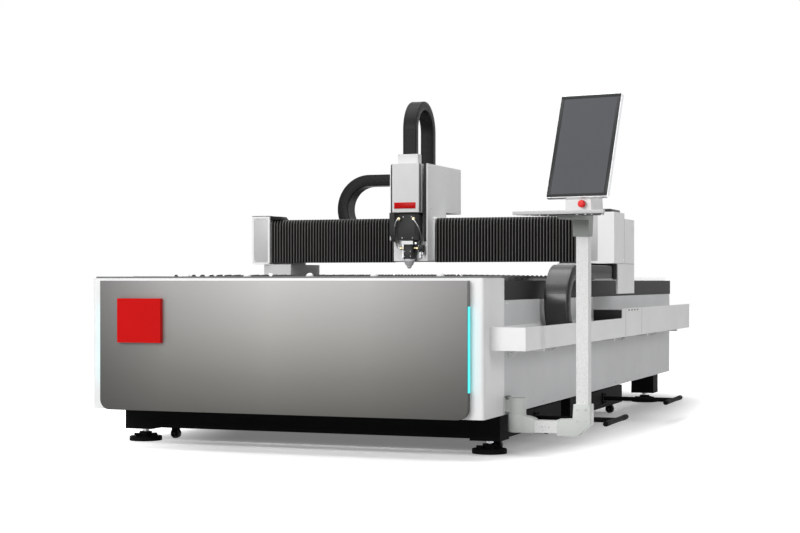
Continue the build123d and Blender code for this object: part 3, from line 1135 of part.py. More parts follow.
def scrap_cart(y):
    half = CART_LENGTH / 2
    bin_ = block(CART_LEFT_X, CART_RIGHT_X, y - half, y + half, CART_FOOT_Z, CART_TOP_Z)
    bin_ -= block(CART_LEFT_X + SHEET, CART_RIGHT_X - SHEET, y - half + SHEET, y + half - SHEET,
                  CART_FOOT_Z + SHEET, CART_TOP_Z + CUT)
    for end in SIDES:
        x = axle_x(end)
        for wheel_y in wheel_rows(y):
            for side in SIDES.values():
                near = wheel_y + side * (WHEEL_WIDTH / 2 + FORK_GAP)
                bin_ += block(x - FORK_WIDTH / 2, x + FORK_WIDTH / 2, near, near + side * FORK_THICKNESS,
                              FORK_FOOT_Z, CART_FOOT_Z)
        bin_ -= bar_y(x, y - half, y + half, WHEEL_DIAMETER / 2, AXLE_DIAMETER + 2 * RUN_GAP)
    return bin_


def wheelset(end, y):
    x, z = axle_x(end), WHEEL_DIAMETER / 2
    half = WHEEL_WIDTH / 2
    stub = half + FORK_GAP + FORK_THICKNESS
    return group(bar_y(x, wheel_y - half, wheel_y + half, z, WHEEL_DIAMETER)
                 + bar_y(x, wheel_y - stub, wheel_y + stub, z, AXLE_DIAMETER) for wheel_y in wheel_rows(y))


def pull_handle(y):
    plate_x = CART_RIGHT_X + HANDLE_FLANGE_THICKNESS
    half = HANDLE_FLANGE / 2
    end = CART_RIGHT_X + HANDLE_REACH
    handle = block(CART_RIGHT_X, plate_x, y - half, y + half, HANDLE_Z - half, min(HANDLE_Z + half, CART_TOP_Z))
    handle += bar_x(plate_x, end, y, HANDLE_Z, HANDLE_DIAMETER)
    return handle + bar_y(end, y - HANDLE_BAR / 2, y + HANDLE_BAR / 2, HANDLE_Z, HANDLE_DIAMETER)


for name, y in CART_Y.items():
    nodes[f"scrap_cart_{name}"] = scrap_cart(y)
    nodes[f"pull_handle_{name}"] = pull_handle(y)
    for end in SIDES:
        nodes[f"{name}_cart_wheels_{end}"] = wheelset(end, y)

# The origin is under the middle of the floor plan
extent = Compound(children=[Compound(shape.solids()) for shape in nodes.values()]).bounding_box()
centre_x = (extent.min.X + extent.max.X) / 2
centre_y = (extent.min.Y + extent.max.Y) / 2
to_origin = Pos(-centre_x, -centre_y, 0)

os.makedirs("parts", exist_ok=True)
for name, shape in nodes.items():
    export_step(to_origin * shape, f"parts/{name}.step")
print(len(nodes), "nodes, floor plan centre", round(centre_x, 3), round(centre_y, 3),
      "top", round(extent.max.Z, 2))
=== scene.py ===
"""Looks for the open-bed fiber laser cutter: materials, folded covers, drag chains, small fittings,
light and camera. Places are given in millimetres from the middle of the four corner feet, +X to the
operator's right, +Y to the rear, and P() turns them into the part's own frame in metres.
"""
from math import cos, pi, radians, sin

import bmesh
import bpy
from mathutils import Matrix, Vector


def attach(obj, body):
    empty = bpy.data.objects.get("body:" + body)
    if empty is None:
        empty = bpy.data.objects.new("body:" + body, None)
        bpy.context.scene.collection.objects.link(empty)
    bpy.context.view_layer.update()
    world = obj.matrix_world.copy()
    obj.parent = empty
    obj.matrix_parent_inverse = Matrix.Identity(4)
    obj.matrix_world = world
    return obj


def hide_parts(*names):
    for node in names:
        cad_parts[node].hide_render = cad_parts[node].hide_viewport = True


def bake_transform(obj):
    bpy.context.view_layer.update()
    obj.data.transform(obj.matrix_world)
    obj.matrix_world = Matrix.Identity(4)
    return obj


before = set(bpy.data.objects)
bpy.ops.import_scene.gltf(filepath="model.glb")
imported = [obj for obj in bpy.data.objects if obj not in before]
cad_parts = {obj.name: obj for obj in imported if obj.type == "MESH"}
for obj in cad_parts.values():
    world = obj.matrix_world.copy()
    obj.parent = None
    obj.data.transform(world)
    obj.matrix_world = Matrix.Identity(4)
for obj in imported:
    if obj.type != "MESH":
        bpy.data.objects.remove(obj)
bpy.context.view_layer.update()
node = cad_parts
CX, CY = 236.096, 11.5

# Faces and lines that several pieces share, in millimetres
SIDE_X = 990  # outer face of the bed's side panels
REAR_Y = 2128  # outer face of the rear panel
TRAY_X = 1156  # outer face of the cable tray
COVER_X = 1143  # outer face of the drive cover
CAP_X = 941  # inner face of the end caps, where the bellows end
GUIDE_X = 855  # middle of the guides on the rail beams
MOTOR_X = 914.7  # axis of the motors at the gantry's ends
HEAD_X, HEAD_Y = -36, -241  # axis of the cutting head
PIVOT_X, PIVOT_Y = 1043, -1747  # axis of the console's swivel
POST_X = 1356  # axis of the console's post
RIDGE = 15.0  # depth of the bellows' folds


def P(x, y, z):
    return Vector(((x - CX) / 1000, (y - CY) / 1000, z / 1000))


# Materials
def nodes_of(name):
    material = bpy.data.materials.new(name)
    material.use_nodes = True
    tree = material.node_tree
    shader = tree.nodes["Principled BSDF"]
    return material, tree, shader


def link(tree, a, out, b, into):
    tree.links.new(a.outputs[out], b.inputs[into])


def noise(tree, scale, detail=2.0, rough=0.5, stretch=None):
    """Noise in the part's own coordinates, drawn out along one axis for brushed metal."""
    place = tree.nodes.new("ShaderNodeTexCoord")
    texture = tree.nodes.new("ShaderNodeTexNoise")
    texture.inputs["Scale"].default_value = scale
    texture.inputs["Detail"].default_value = detail
    texture.inputs["Roughness"].default_value = rough
    if stretch:
        mapping = tree.nodes.new("ShaderNodeMapping")
        mapping.inputs["Scale"].default_value = stretch
        link(tree, place, "Object", mapping, "Vector")
        link(tree, mapping, "Vector", texture, "Vector")
    else:
        link(tree, place, "Object", texture, "Vector")
    return texture


def ramp(tree, source, out, stops):
    made = tree.nodes.new("ShaderNodeValToRGB")
    line = made.color_ramp
    while len(line.elements) < len(stops):
        line.elements.new(0.5)
    for element, (place, colour) in zip(line.elements, stops):
        element.position = place
        element.color = (*colour, 1)
    link(tree, source, out, made, "Fac")
    return made


def spread(tree, source, out, low, high):
    made = tree.nodes.new("ShaderNodeMapRange")
    made.inputs["From Min"].default_value = 0.3
    made.inputs["From Max"].default_value = 0.7
    made.inputs["To Min"].default_value = low
    made.inputs["To Max"].default_value = high
    link(tree, source, out, made, "Value")
    return made


def bump(tree, shader, source, out, strength, distance, edge=0.0):
    made = tree.nodes.new("ShaderNodeBump")
    made.inputs["Strength"].default_value = strength
    made.inputs["Distance"].default_value = distance
    link(tree, source, out, made, "Height")
    if edge:
        soft = tree.nodes.new("ShaderNodeBevel")
        soft.samples = 4
        soft.inputs["Radius"].default_value = edge
        link(tree, soft, "Normal", made, "Normal")
    link(tree, made, "Normal", shader, "Normal")


def multiply(tree, first, second):
    """Product of two colours, as a socket."""
    made = tree.nodes.new("ShaderNodeMix")
    made.data_type = "RGBA"
    made.blend_type = "MULTIPLY"
    made.inputs["Factor"].default_value = 1.0
    tree.links.new(first, made.inputs["A"])
    tree.links.new(second, made.inputs["B"])
    return made.outputs["Result"]


def along_axis(tree, axis, low, high):
    """0 to 1 between two places on one axis of the part's own frame, in metres."""
    place = tree.nodes.new("ShaderNodeTexCoord")
    parts = tree.nodes.new("ShaderNodeSeparateXYZ")
    link(tree, place, "Object", parts, "Vector")
    made = tree.nodes.new("ShaderNodeMapRange")
    made.inputs["From Min"].default_value = low
    made.inputs["From Max"].default_value = high
    link(tree, parts, axis, made, "Value")
    return made


def seen_directly(tree):
    """1 for rays from the camera, a mirror or glass, 0 for all others."""
    rays = tree.nodes.new("ShaderNodeLightPath")
    seen = tree.nodes.new("ShaderNodeMath")
    seen.operation = "MAXIMUM"
    link(tree, rays, "Is Camera Ray", seen, 0)
    link(tree, rays, "Is Glossy Ray", seen, 1)
    through = tree.nodes.new("ShaderNodeMath")
    through.operation = "MAXIMUM"
    link(tree, seen, "Value", through, 0)
    link(tree, rays, "Is Transmission Ray", through, 1)
    return through


def tone(colour, factor):
    return tuple(min(1.0, c * factor) for c in colour)


def paint(name, colour, rough=0.42, depth=0.25, vary=0.05, speck=0.0, specular=0.4):
    """Powder coat: fine orange peel, faint cloudiness, and pale specks where the finish has them."""
    material, tree, shader = nodes_of(name)
    cloud = noise(tree, 2.2, 4, 0.6)
    base = ramp(tree, cloud, "Fac", [(0.3, tone(colour, 1 - vary)), (0.7, tone(colour, 1 + vary))])
    if speck:
        grain = noise(tree, 420, 3, 0.7)
        spots = ramp(tree, grain, "Fac", [(0.36, tone(colour, 1 - speck)), (0.5, tone(colour, 1)),
                                          (0.66, tone(colour, 1 + speck))])
        mixed = tree.nodes.new("ShaderNodeMix")
        mixed.data_type = "RGBA"
        mixed.inputs["Factor"].default_value = 0.6
        tree.links.new(base.outputs["Color"], mixed.inputs["A"])
        tree.links.new(spots.outputs["Color"], mixed.inputs["B"])
        tree.links.new(mixed.outputs["Result"], shader.inputs["Base Color"])
    else:
        link(tree, base, "Color", shader, "Base Color")
    fine = noise(tree, 700, 2, 0.5)
    level = spread(tree, fine, "Fac", rough - 0.05, rough + 0.07)
    link(tree, level, "Result", shader, "Roughness")
    bump(tree, shader, fine, "Fac", depth, 0.0004, edge=0.0015)
    shader.inputs["Specular IOR Level"].default_value = specular
    return material


def metal(name, colour, rough=0.3, grain=(8, 8, 260), vary=0.12):
    """Ground or brushed metal with its grain along one direction."""
    material, tree, shader = nodes_of(name)
    shader.inputs["Metallic"].default_value = 1.0
    streak = noise(tree, 3.0, 5, 0.65, grain)
    base = ramp(tree, streak, "Fac", [(0.3, tone(colour, 1 - vary)), (0.7, tone(colour, 1 + vary))])
    link(tree, base, "Color", shader, "Base Color")
    level = spread(tree, streak, "Fac", rough - 0.07, rough + 0.1)
    link(tree, level, "Result", shader, "Roughness")
    bump(tree, shader, streak, "Fac", 0.12, 0.0002, edge=0.0008)
    return material


def plastic(name, colour, rough=0.4, depth=0.2, vary=0.08, specular=0.5):
    """Moulded plastic or rubber with a fine grain."""
    material, tree, shader = nodes_of(name)
    cloud = noise(tree, 5, 3, 0.6)
    base = ramp(tree, cloud, "Fac", [(0.3, tone(colour, 1 - vary)), (0.7, tone(colour, 1 + vary))])
    link(tree, base, "Color", shader, "Base Color")
    fine = noise(tree, 900, 2, 0.6)
    level = spread(tree, fine, "Fac", rough - 0.06, rough + 0.08)
    link(tree, level, "Result", shader, "Roughness")
    shader.inputs["Specular IOR Level"].default_value = specular
    bump(tree, shader, fine, "Fac", depth, 0.0003, edge=0.001)
    return material


def front_panel_painted_light():
    """Dark metallic panel with painted light: painted lighter towards its top as a painted reflection, and
    painted darker at its foot and towards both ends as painted shade.
    """
    material, tree, shader = nodes_of("panel_metallic_painted_light")
    up = along_axis(tree, "Z", 0.183, 0.800)
    # painted reflection and shade up the panel: dark at the foot, light at the top
    rise = ramp(tree, up, "Result", [(0.0, (0.062, 0.060, 0.053)), (0.28, (0.142, 0.138, 0.126)),
                                     (0.62, (0.268, 0.262, 0.250)), (1.0, (0.374, 0.369, 0.363))])
    half = 0.926
    across = along_axis(tree, "X", -half - CX / 1000, half - CX / 1000)
    # painted shade towards both ends of the panel
    ends = ramp(tree, across, "Result", [(0.0, (0.33, 0.33, 0.33)), (0.18, (0.70, 0.70, 0.70)),
                                         (0.48, (1, 1, 1)), (0.74, (0.84, 0.84, 0.84)),
                                         (1.0, (0.45, 0.45, 0.45))])
    shade = multiply(tree, rise.outputs["Color"], ends.outputs["Color"])
    streak = noise(tree, 3.0, 4, 0.6, (4, 4, 180))
    grain = ramp(tree, streak, "Fac", [(0.3, (0.96, 0.96, 0.96)), (0.7, (1, 1, 1))])
    tree.links.new(multiply(tree, shade, grain.outputs["Color"]), shader.inputs["Base Color"])
    shader.inputs["Metallic"].default_value = 0.25
    shader.inputs["Coat Weight"].default_value = 0.15
    shader.inputs["Coat Roughness"].default_value = 0.3
    level = spread(tree, streak, "Fac", 0.40, 0.50)
    link(tree, level, "Result", shader, "Roughness")
    bump(tree, shader, streak, "Fac", 0.05, 0.0002, 0.002)
    return material


def fold_cloth_painted_shade():
    """Coated cloth, woven, coloured by fold depth: painted shade makes it black in the valleys and lighter grey
    on the ridges.
    """
    material, tree, shader = nodes_of("bellows_cloth_painted_shade")
    depth = tree.nodes.new("ShaderNodeVertexColor")
    depth.layer_name = "ridge_shade"
    # painted shade by fold depth: black in the valleys, grey on the ridges
    base = ramp(tree, depth, "Color", [(0.0, (0.002, 0.002, 0.002)), (0.55, (0.006, 0.006, 0.006)),
                                       (0.86, (0.030, 0.030, 0.029)), (1.0, (0.150, 0.147, 0.137))])
    worn = noise(tree, 30, 4, 0.65)
    rub = ramp(tree, worn, "Fac", [(0.3, (0.8, 0.8, 0.8)), (0.7, (1.0, 1.0, 1.0))])
    mixed = multiply(tree, base.outputs["Color"], rub.outputs["Color"])
    tree.links.new(mixed, shader.inputs["Base Color"])
    shader.inputs["Roughness"].default_value = 0.62
    shader.inputs["Specular IOR Level"].default_value = 0.3
    place = tree.nodes.new("ShaderNodeTexCoord")
    weave = tree.nodes.new("ShaderNodeTexWave")
    weave.inputs["Scale"].default_value = 420
    weave.inputs["Distortion"].default_value = 1.5
    weave.bands_direction = "Z"
    link(tree, place, "Object", weave, "Vector")
    bump(tree, shader, weave, "Fac", 0.2, 0.0003)
    return material


def glow(name, colour, strength):
    material, tree, shader = nodes_of(name)
    cells = noise(tree, 60, 1, 0.5)
    base = ramp(tree, cells, "Fac", [(0.3, tone(colour, 0.92)), (0.7, colour)])
    link(tree, base, "Color", shader, "Base Color")
    link(tree, base, "Color", shader, "Emission Color")
    shader.inputs["Emission Strength"].default_value = strength
    shader.inputs["Roughness"].default_value = 0.3
    return material


def mill_steel():
    """Laser-cut slats: blue-grey scale with heat tint and spatter near the tips."""
    material, tree, shader = nodes_of("slat_scale")
    shader.inputs["Metallic"].default_value = 0.85
    up = along_axis(tree, "Z", 0.74, 0.83)
    tint = ramp(tree, up, "Result", [(0.0, (0.030, 0.031, 0.034)), (0.6, (0.045, 0.046, 0.050)),
                                     (0.82, (0.055, 0.047, 0.040)), (1.0, (0.075, 0.075, 0.077))])
    spatter = noise(tree, 160, 5, 0.7)
    dirt = ramp(tree, spatter, "Fac", [(0.38, (0.45, 0.43, 0.42)), (0.6, (1, 1, 1))])
    mixed = multiply(tree, tint.outputs["Color"], dirt.outputs["Color"])
    tree.links.new(mixed, shader.inputs["Base Color"])
    level = spread(tree, spatter, "Fac", 0.38, 0.6)
    link(tree, level, "Result", shader, "Roughness")
    bump(tree, shader, spatter, "Fac", 0.25, 0.0005)
    return material


def guide_painted_shade():
    """Guide steel, painted dark up to the drive cover as painted shade, and bright steel behind it."""
    bright = (0.86, 0.865, 0.87)
    material = metal("guide_steel", bright, 0.24, (160, 3, 160), 0.05)
    tree = material.node_tree
    along = along_axis(tree, "Y", 0.85, 1.0)
    # painted shade: dark at the front, bright from the drive cover back
    painted_shade_ramp = ramp(tree, along, "Result", [(0.0, (0.075, 0.076, 0.078)), (1.0, bright)])
    link(tree, painted_shade_ramp, "Color", tree.nodes["Principled BSDF"], "Base Color")
    return material


def chain_painted_sheen():
    """Nylon with a painted sheen: specular is high on the links' backs and near none on the sides, which takes
    the reflection off them.
    """
    material = plastic("chain_nylon_painted_sheen", (0.022, 0.022, 0.022), 0.26)
    tree = material.node_tree
    shader = tree.nodes["Principled BSDF"]
    place = tree.nodes.new("ShaderNodeTexCoord")
    parts = tree.nodes.new("ShaderNodeSeparateXYZ")
    link(tree, place, "Normal", parts, "Vector")
    side = tree.nodes.new("ShaderNodeMath")
    side.operation = "ABSOLUTE"
    link(tree, parts, "X", side, 0)
    # painted sheen set by face direction: high on the backs, low on the sides
    sheen = tree.nodes.new("ShaderNodeMapRange")
    sheen.inputs["From Min"].default_value = 0.5
    sheen.inputs["From Max"].default_value = 0.9
    sheen.inputs["To Min"].default_value = 0.42
    sheen.inputs["To Max"].default_value = 0.02
    link(tree, side, "Value", sheen, "Value")
    link(tree, sheen, "Result", shader, "Specular IOR Level")
    return material


M = {
    "white": paint("white_powder", (0.80, 0.803, 0.803), 0.42),
    "side": paint("side_powder", (0.57, 0.577, 0.583), 0.45),
    # cover, housing, box and cap are copies of the white powder coat in other tones: housing lighter as painted
    # light, cover, box and cap darker as painted shade
    "cover": paint("cover_powder_painted_shade", (0.61, 0.612, 0.61), 0.42),
    "housing": paint("housing_powder_painted_light", (0.87, 0.874, 0.876), 0.42),
    "box": paint("box_powder_painted_shade", (0.72, 0.722, 0.72), 0.42),
    "cap": paint("cap_powder_painted_shade", (0.49, 0.492, 0.49), 0.42),
    "black": paint("black_powder", (0.0095, 0.0095, 0.0098), 0.6, vary=0.12, specular=0.02),
    "beam_black": paint("rail_beam_black", (0.013, 0.013, 0.0135), 0.5, vary=0.1, specular=0.06),
    "strip": paint("strip_grey", (0.12, 0.122, 0.126), 0.36),
    "red": paint("badge_red", (0.50, 0.004, 0.004), 0.30, depth=0.06, specular=0.08),
    "post": paint("post_speckled", (0.73, 0.735, 0.725), 0.5, speck=0.35, depth=0.5),
    "casting": paint("casting_grey", (0.60, 0.622, 0.60), 0.46, depth=0.3),
    "bracket": paint("bracket_grey", (0.235, 0.25, 0.235), 0.4),
    "motor": paint("motor_black", (0.012, 0.012, 0.013), 0.3, specular=0.3),
    "head": paint("head_anodised", (0.045, 0.045, 0.046), 0.48, specular=0.15),
    "guide": guide_painted_shade(),
    "steel": metal("ground_steel", (0.52, 0.53, 0.545), 0.3, (3, 160, 160)),
    "zinc": metal("zinc_screws", (0.62, 0.62, 0.63), 0.3, (60, 60, 60)),
    "silver": metal("monitor_silver", (0.74, 0.745, 0.755), 0.28, (140, 140, 6)),
    "chrome": paint("nozzle_satin", (0.60, 0.605, 0.615), 0.28, depth=0.05, specular=0.6),
    "brass": metal("brass_fittings", (0.74, 0.62, 0.38), 0.32, (120, 8, 8)),
    "chain": plastic("chain_nylon", (0.011, 0.011, 0.0113), 0.38, specular=0.10),
    "chain_near": chain_painted_sheen(),
    "chain_core": plastic("chain_core", (0.012, 0.012, 0.012), 0.6),
    "ball": plastic("ball_white", (0.80, 0.80, 0.80), 0.16, depth=0.03, vary=0.02),
    "drawer": plastic("drawer_white", (0.86, 0.86, 0.86), 0.3, depth=0.05, vary=0.02),
    "stop": plastic("stop_red", (0.70, 0.014, 0.016), 0.30, depth=0.05, vary=0.03, specular=0.25),
    "rubber": plastic("wheel_rubber", (0.014, 0.014, 0.014), 0.65, depth=0.5),
    "screen": plastic("screen_glass", (0.072, 0.075, 0.083), 0.34, depth=0.01, vary=0.03, specular=0.15),
    "bezel": plastic("bezel_black", (0.014, 0.015, 0.015), 0.38, depth=0.05, specular=0.2),
    "seam": plastic("seam_shadow", (0.16, 0.162, 0.164), 0.7),
    # dark for real slots, vents and glands, and for sheets of painted shade
    "dark": plastic("dark_gap_and_painted_shade", (0.006, 0.006, 0.006), 0.7),
    "panel": front_panel_painted_light(),
    "cloth": fold_cloth_painted_shade(),
    "led": glow("led_cyan", (0.06, 0.75, 0.82), 0.95),
    "slat": mill_steel(),
}

NODE_LOOK = {
    "black": "bed_frame foot_pads slat_carriers x_chain_shelf scrap_cart_front scrap_cart_rear "
             "pull_handle_front pull_handle_rear",
    "beam_black": "rail_beam_left rail_beam_right",
    "white": "front_cabinet cable_tray tray_brackets drive_cover end_cap_left end_cap_right",
    "housing": "carriage_housing", "box": "control_box",
    "cap": "keyboard_tray", "cover": "z_cover saddle_left saddle_right", "guide": "y_guides",
    "side": "side_panel_left side_panel_right rear_panel",
    "panel": "front_panel", "red": "badge_plate", "led": "led_strips", "strip": "front_top_strip",
    "steel": "foot_studs x_guides z_guides y_pinion_left y_pinion_right x_pinion gantry_beam",
    "slat": "support_slats", "ball": "loading_balls", "motor": "y_motors x_motor", "head": "cutting_head",
    "chrome": "nozzle", "brass": "head_fittings", "drawer": "lens_drawer", "post": "console_arm",
    "casting": "swivel_bracket", "bracket": "head_bracket", "silver": "monitor_shell",
    "screen": "monitor_screen", "stop": "e_stop_button",
    "rubber": "front_cart_wheels_left front_cart_wheels_right rear_cart_wheels_left rear_cart_wheels_right",
}
for look, names in NODE_LOOK.items():
    for name in names.split():
        node[name].data.materials.clear()
        node[name].data.materials.append(M[look])


# Mesh helpers
def skin_over(bm, rings, look=0):
    """Closed body through rings of equal length."""
    count = len(rings[0])
    made = [bm.faces.new((a[n], a[(n + 1) % count], b[(n + 1) % count], b[n]))
            for a, b in zip(rings, rings[1:]) for n in range(count)]
    made += [bm.faces.new(rings[0]), bm.faces.new(rings[-1])]
    for f in made:
        f.material_index = look
    return made


def piece(name, bm, looks, body=None, replaces=(), sharp=40):
    bmesh.ops.recalc_face_normals(bm, faces=bm.faces)
    mesh = bpy.data.meshes.new(name)
    bm.to_mesh(mesh)
    bm.free()
    for look in looks.split():
        mesh.materials.append(M[look])
    mesh.shade_smooth()
    mesh.set_sharp_from_angle(angle=radians(sharp))
    made = bpy.data.objects.new(name, mesh)
    bpy.context.scene.collection.objects.link(made)
    if replaces:
        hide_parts(*replaces)
    if body:
        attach(made, body)
    return made


def slab(bm, x0, x1, y0, y1, z0, z1, soft=0.0, look=0, at=None):
    """Box between two corners in millimetres, its edges rounded by soft; at places it in a turned frame."""
    low, high = (Vector((x0, y0, z0)), Vector((x1, y1, z1)))
    made = bmesh.ops.create_cube(bm, size=1.0)["verts"]
    size, middle = high - low, (low + high) / 2
    for v in made:
        v.co = Vector((v.co.x * size.x, v.co.y * size.y, v.co.z * size.z)) + middle
    faces = {f for v in made for f in v.link_faces}
    if soft:
        edges = list({e for v in made for e in v.link_edges})
        done = bmesh.ops.bevel(bm, geom=edges, offset=soft, segments=2, affect="EDGES", profile=0.5)
        made = list({v for f in done["faces"] for v in f.verts} | {v for v in made if v.is_valid})
        faces = {f for v in made for f in v.link_faces}
    for f in faces:
        f.material_index = look
    for v in made:
        v.co = place(v.co, at)


def place(point, at=None):
    if at is not None:
        point = at @ point
    return P(*point)


def turned(bm, profile, at, steps=24, look=0):
    """Closed ring body from (radius, height) points about the local Z of at."""
    rings = []
    for r, h in profile:
        if r < 1e-6:
            rings.append([bm.verts.new(place(Vector((0, 0, h)), at))])
        else:
            turns = [2 * pi * n / steps for n in range(steps)]
            rings.append([bm.verts.new(place(Vector((r * cos(t), r * sin(t), h)), at)) for t in turns])
    for a, b in zip(rings, rings[1:]):
        for n in range(steps):
            m = (n + 1) % steps
            corners = [a[n % len(a)], a[m % len(a)], b[m % len(b)], b[n % len(b)]]
            corners = list(dict.fromkeys(corners))
            if len(corners) > 2:
                bm.faces.new(corners).material_index = look


UP = Matrix.Identity(4)
TO_RIGHT = Matrix.Rotation(radians(90), 4, "Y")
TO_LEFT = Matrix.Rotation(radians(-90), 4, "Y")
TO_FRONT = Matrix.Rotation(radians(90), 4, "X")
TO_REAR = Matrix.Rotation(radians(-90), 4, "X")
DOWN = Matrix.Rotation(radians(180), 4, "X")


def spot(x, y, z, facing=UP):
    return Matrix.Translation((x, y, z)) @ facing


def screw(bm, at, size=5.0, look=0):
    """Round-headed socket screw with its drive."""
    turned(bm, [(0, 0), (size, 0), (size, 1.6), (size * 0.82, 2.6), (size * 0.45, 2.9), (size * 0.42, 1.2),
                (0, 1.2)], at, 12, look)


def bolt(bm, at, size=8.0, look=0):
    """Hexagon bolt on a washer."""
    turned(bm, [(0, 0), (size * 1.25, 0), (size * 1.25, 1.5), (size * 1.15, 1.8), (size * 0.9, 1.8)],
           at, 18, look)
    turned(bm, [(size * 0.98, 1.8), (size * 0.98, 6.2), (size * 0.8, 7.0), (0, 7.0)], at, 6, look)


def tube(bm, points, radius, sides=10):
    """Bent rigid line: a smooth curve through the given points, read back and swept with a ring."""
    line = bpy.data.curves.new("line", "CURVE")
    line.dimensions = "3D"
    line.resolution_u = 8
    spline = line.splines.new("NURBS")
    spline.points.add(len(points) - 1)
    for target, point in zip(spline.points, points):
        target.co = (*point, 1)
    spline.use_endpoint_u = True
    spline.order_u = 3
    holder = bpy.data.objects.new("line", line)
    flat = bpy.data.meshes.new_from_object(holder)
    route = [Vector(v.co) for v in flat.vertices]
    bpy.data.objects.remove(holder)
    bpy.data.curves.remove(line)
    bpy.data.meshes.remove(flat)
    rings, normal = [], None
    for n, point in enumerate(route):
        ahead = (route[min(n + 1, len(route) - 1)] - route[max(n - 1, 0)]).normalized()
        if normal is None:
            normal = ahead.orthogonal().normalized()
        normal = (normal - ahead * normal.dot(ahead)).normalized()
        other = ahead.cross(normal)
        turns = [2 * pi * k / sides for k in range(sides)]
        rings.append([bm.verts.new(P(*(point + (normal * cos(t) + other * sin(t)) * radius))) for t in turns])
    skin_over(bm, rings)


def casting(bm, outline, y0, y1, soft):
    """Block with the given XZ outline, bevelled all round."""
    rings = [[bm.verts.new(P(x, y, z)) for x, z in outline] for y in (y0, y1)]
    made = skin_over(bm, rings)
    edges = list({e for f in made for e in f.edges})
    bmesh.ops.bevel(bm, geom=edges, offset=soft / 1000, segments=2, affect="EDGES", profile=0.5)


def follow(made, a, b, middle, along, share, length):
    """Bakes the piece's place into its mesh; middle, share and length are not used."""
    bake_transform(made)


def follow_half(made, a, b, across):
    """Bakes the piece's place into its mesh."""
    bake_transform(made)


# Drag chains: smooth closed links with fine seams, pivots at the sides
class Chain:
    def __init__(self, name, centre, along, up, across, lower, upper, bend, width, height, pitch, bodies,
                 look="chain"):
        self.name, self.bodies, self.looks = name, bodies, look + " chain_core"
        self.centre, self.along, self.up, self.across = Vector(centre), Vector(along), Vector(up), Vector(across)
        self.lower, self.upper, self.bend = lower, upper, bend
        self.width, self.height, self.pitch = width, height, pitch

    def at(self, s):
        """Point and outward direction at s along the chain, measured from the fixed end."""
        arc = pi * self.bend
        if s < self.lower:
            return self.along * (self.lower - s) - self.up * self.bend, -self.up
        if s > self.lower + arc:
            return self.along * (s - self.lower - arc) + self.up * self.bend, self.up
        turn = (s - self.lower) / self.bend
        out = -self.up * cos(turn) - self.along * sin(turn)
        return out * self.bend, out

    def section(self, inset):
        w, h = self.width / 2 - inset, self.height / 2 - inset
        c, lid, step = 5.0, 13.0, 0.6
        top = [(-w, h - c), (-w + c * 0.3, h - c * 0.3), (-w + c, h), (-w + lid, h), (-w + lid + step, h - step),
               (w - lid - step, h - step), (w - lid, h), (w - c, h), (w - c * 0.3, h - c * 0.3), (w, h - c)]
        return top + [(-x, -y) for x, y in top]

    def ring(self, s, inset):
        point, out = self.at(s)
        return [P(*(self.centre + point + self.across * x + out * y)) for x, y in self.section(inset)]

    def link(self, bm, s0, s1, steps):
        seam, lip = 0.06, 0.25
        inner = [s0 + seam, s0 + seam + lip]
        inner += [s0 + (s1 - s0) * n / steps for n in range(1, steps)]
        inner += [s1 - seam - lip, s1 - seam]
        rings = []
        for n, s in enumerate(inner):
            inset = 0.3 if n in (0, len(inner) - 1) else 0.0
            rings.append([bm.verts.new(p) for p in self.ring(s, inset)])
        skin_over(bm, rings)
        point, out = self.at((s0 + s1) / 2)
        run = self.across.cross(out)
        for side in (-1, 1):
            axes = Matrix((run, out if side > 0 else -out, self.across * side)).transposed().to_4x4()
            seat = self.centre + point + self.across * (side * (self.width / 2 - 0.2))
            turned(bm, [(12, 0), (12, 0.4), (11.4, 0.6), (4, 0.6), (3.6, 0.3), (0, 0.3)],
                   Matrix.Translation(seat) @ axes, 20)

    def core(self, bm, s0, s1, steps):
        """Plain body inside the links, which closes their seams."""
        places = [s0 + (s1 - s0) * n / steps for n in range(steps + 1)]
        skin_over(bm, [[bm.verts.new(p) for p in self.ring(s, 1.2)] for s in places], look=1)

    def run(self, s_start, length, label, share0, per_piece=2):
        """Straight run from s_start in short stretches; the share of travel rises by 0.5 from share0."""
        count = max(1, round(length / self.pitch))
        step = length / count
        for first in range(0, count, per_piece):
            last = min(first + per_piece, count)
            bm = bmesh.new()
            for n in range(first, last):
                self.link(bm, s_start + n * step, s_start + (n + 1) * step, 2)
            self.core(bm, s_start + first * step + 0.6, s_start + last * step - 0.6, 1)
            made = piece(f"{self.name}_{label}_{first // per_piece + 1:02d}", bm, self.looks,
                         replaces=[self.name])
            middle_s = s_start + (first + last) / 2 * step
            point, _ = self.at(middle_s)
            forward = self.along if label == "upper" else -self.along
            share = share0 + 0.5 * (middle_s - s_start) / length
            follow(made, *self.bodies, P(*(self.centre + point)), forward, share, 2 * length / 1000)

    def build(self):
        self.run(0.0, self.lower, "lower", 0.0)
        arc = pi * self.bend
        count = max(1, round(arc / self.pitch))
        bm = bmesh.new()
        for n in range(count):
            self.link(bm, self.lower + arc * n / count, self.lower + arc * (n + 1) / count, 5)
        self.core(bm, self.lower, self.lower + arc, count * 4)
        made = piece(f"{self.name}_bend", bm, self.looks, replaces=[self.name])
        follow_half(made, *self.bodies, self.across)
        self.run(self.lower + arc, self.upper, "upper", 0.5)


Chain("y_drag_chain", (1073, -986, 685.8), (0, 1, 0), (0, 0, 1), (1, 0, 0), 836, 832, 160, 120, 70, 42,
      ("bed", "gantry"), "chain_near").build()
Chain("x_drag_chain", (-426, 180, 1230.3), (1, 0, 0), (0, 0, 1), (0, 1, 0), 426, 277, 170, 120, 67, 42,
      ("gantry", "carriage")).build()
Chain("z_drag_chain", (-30, -84.3, 1659), (0, 0, -1), (0, -1, 0), (1, 0, 0), 194, 140, 150, 78, 50, 38,
      ("carriage", "head")).build()


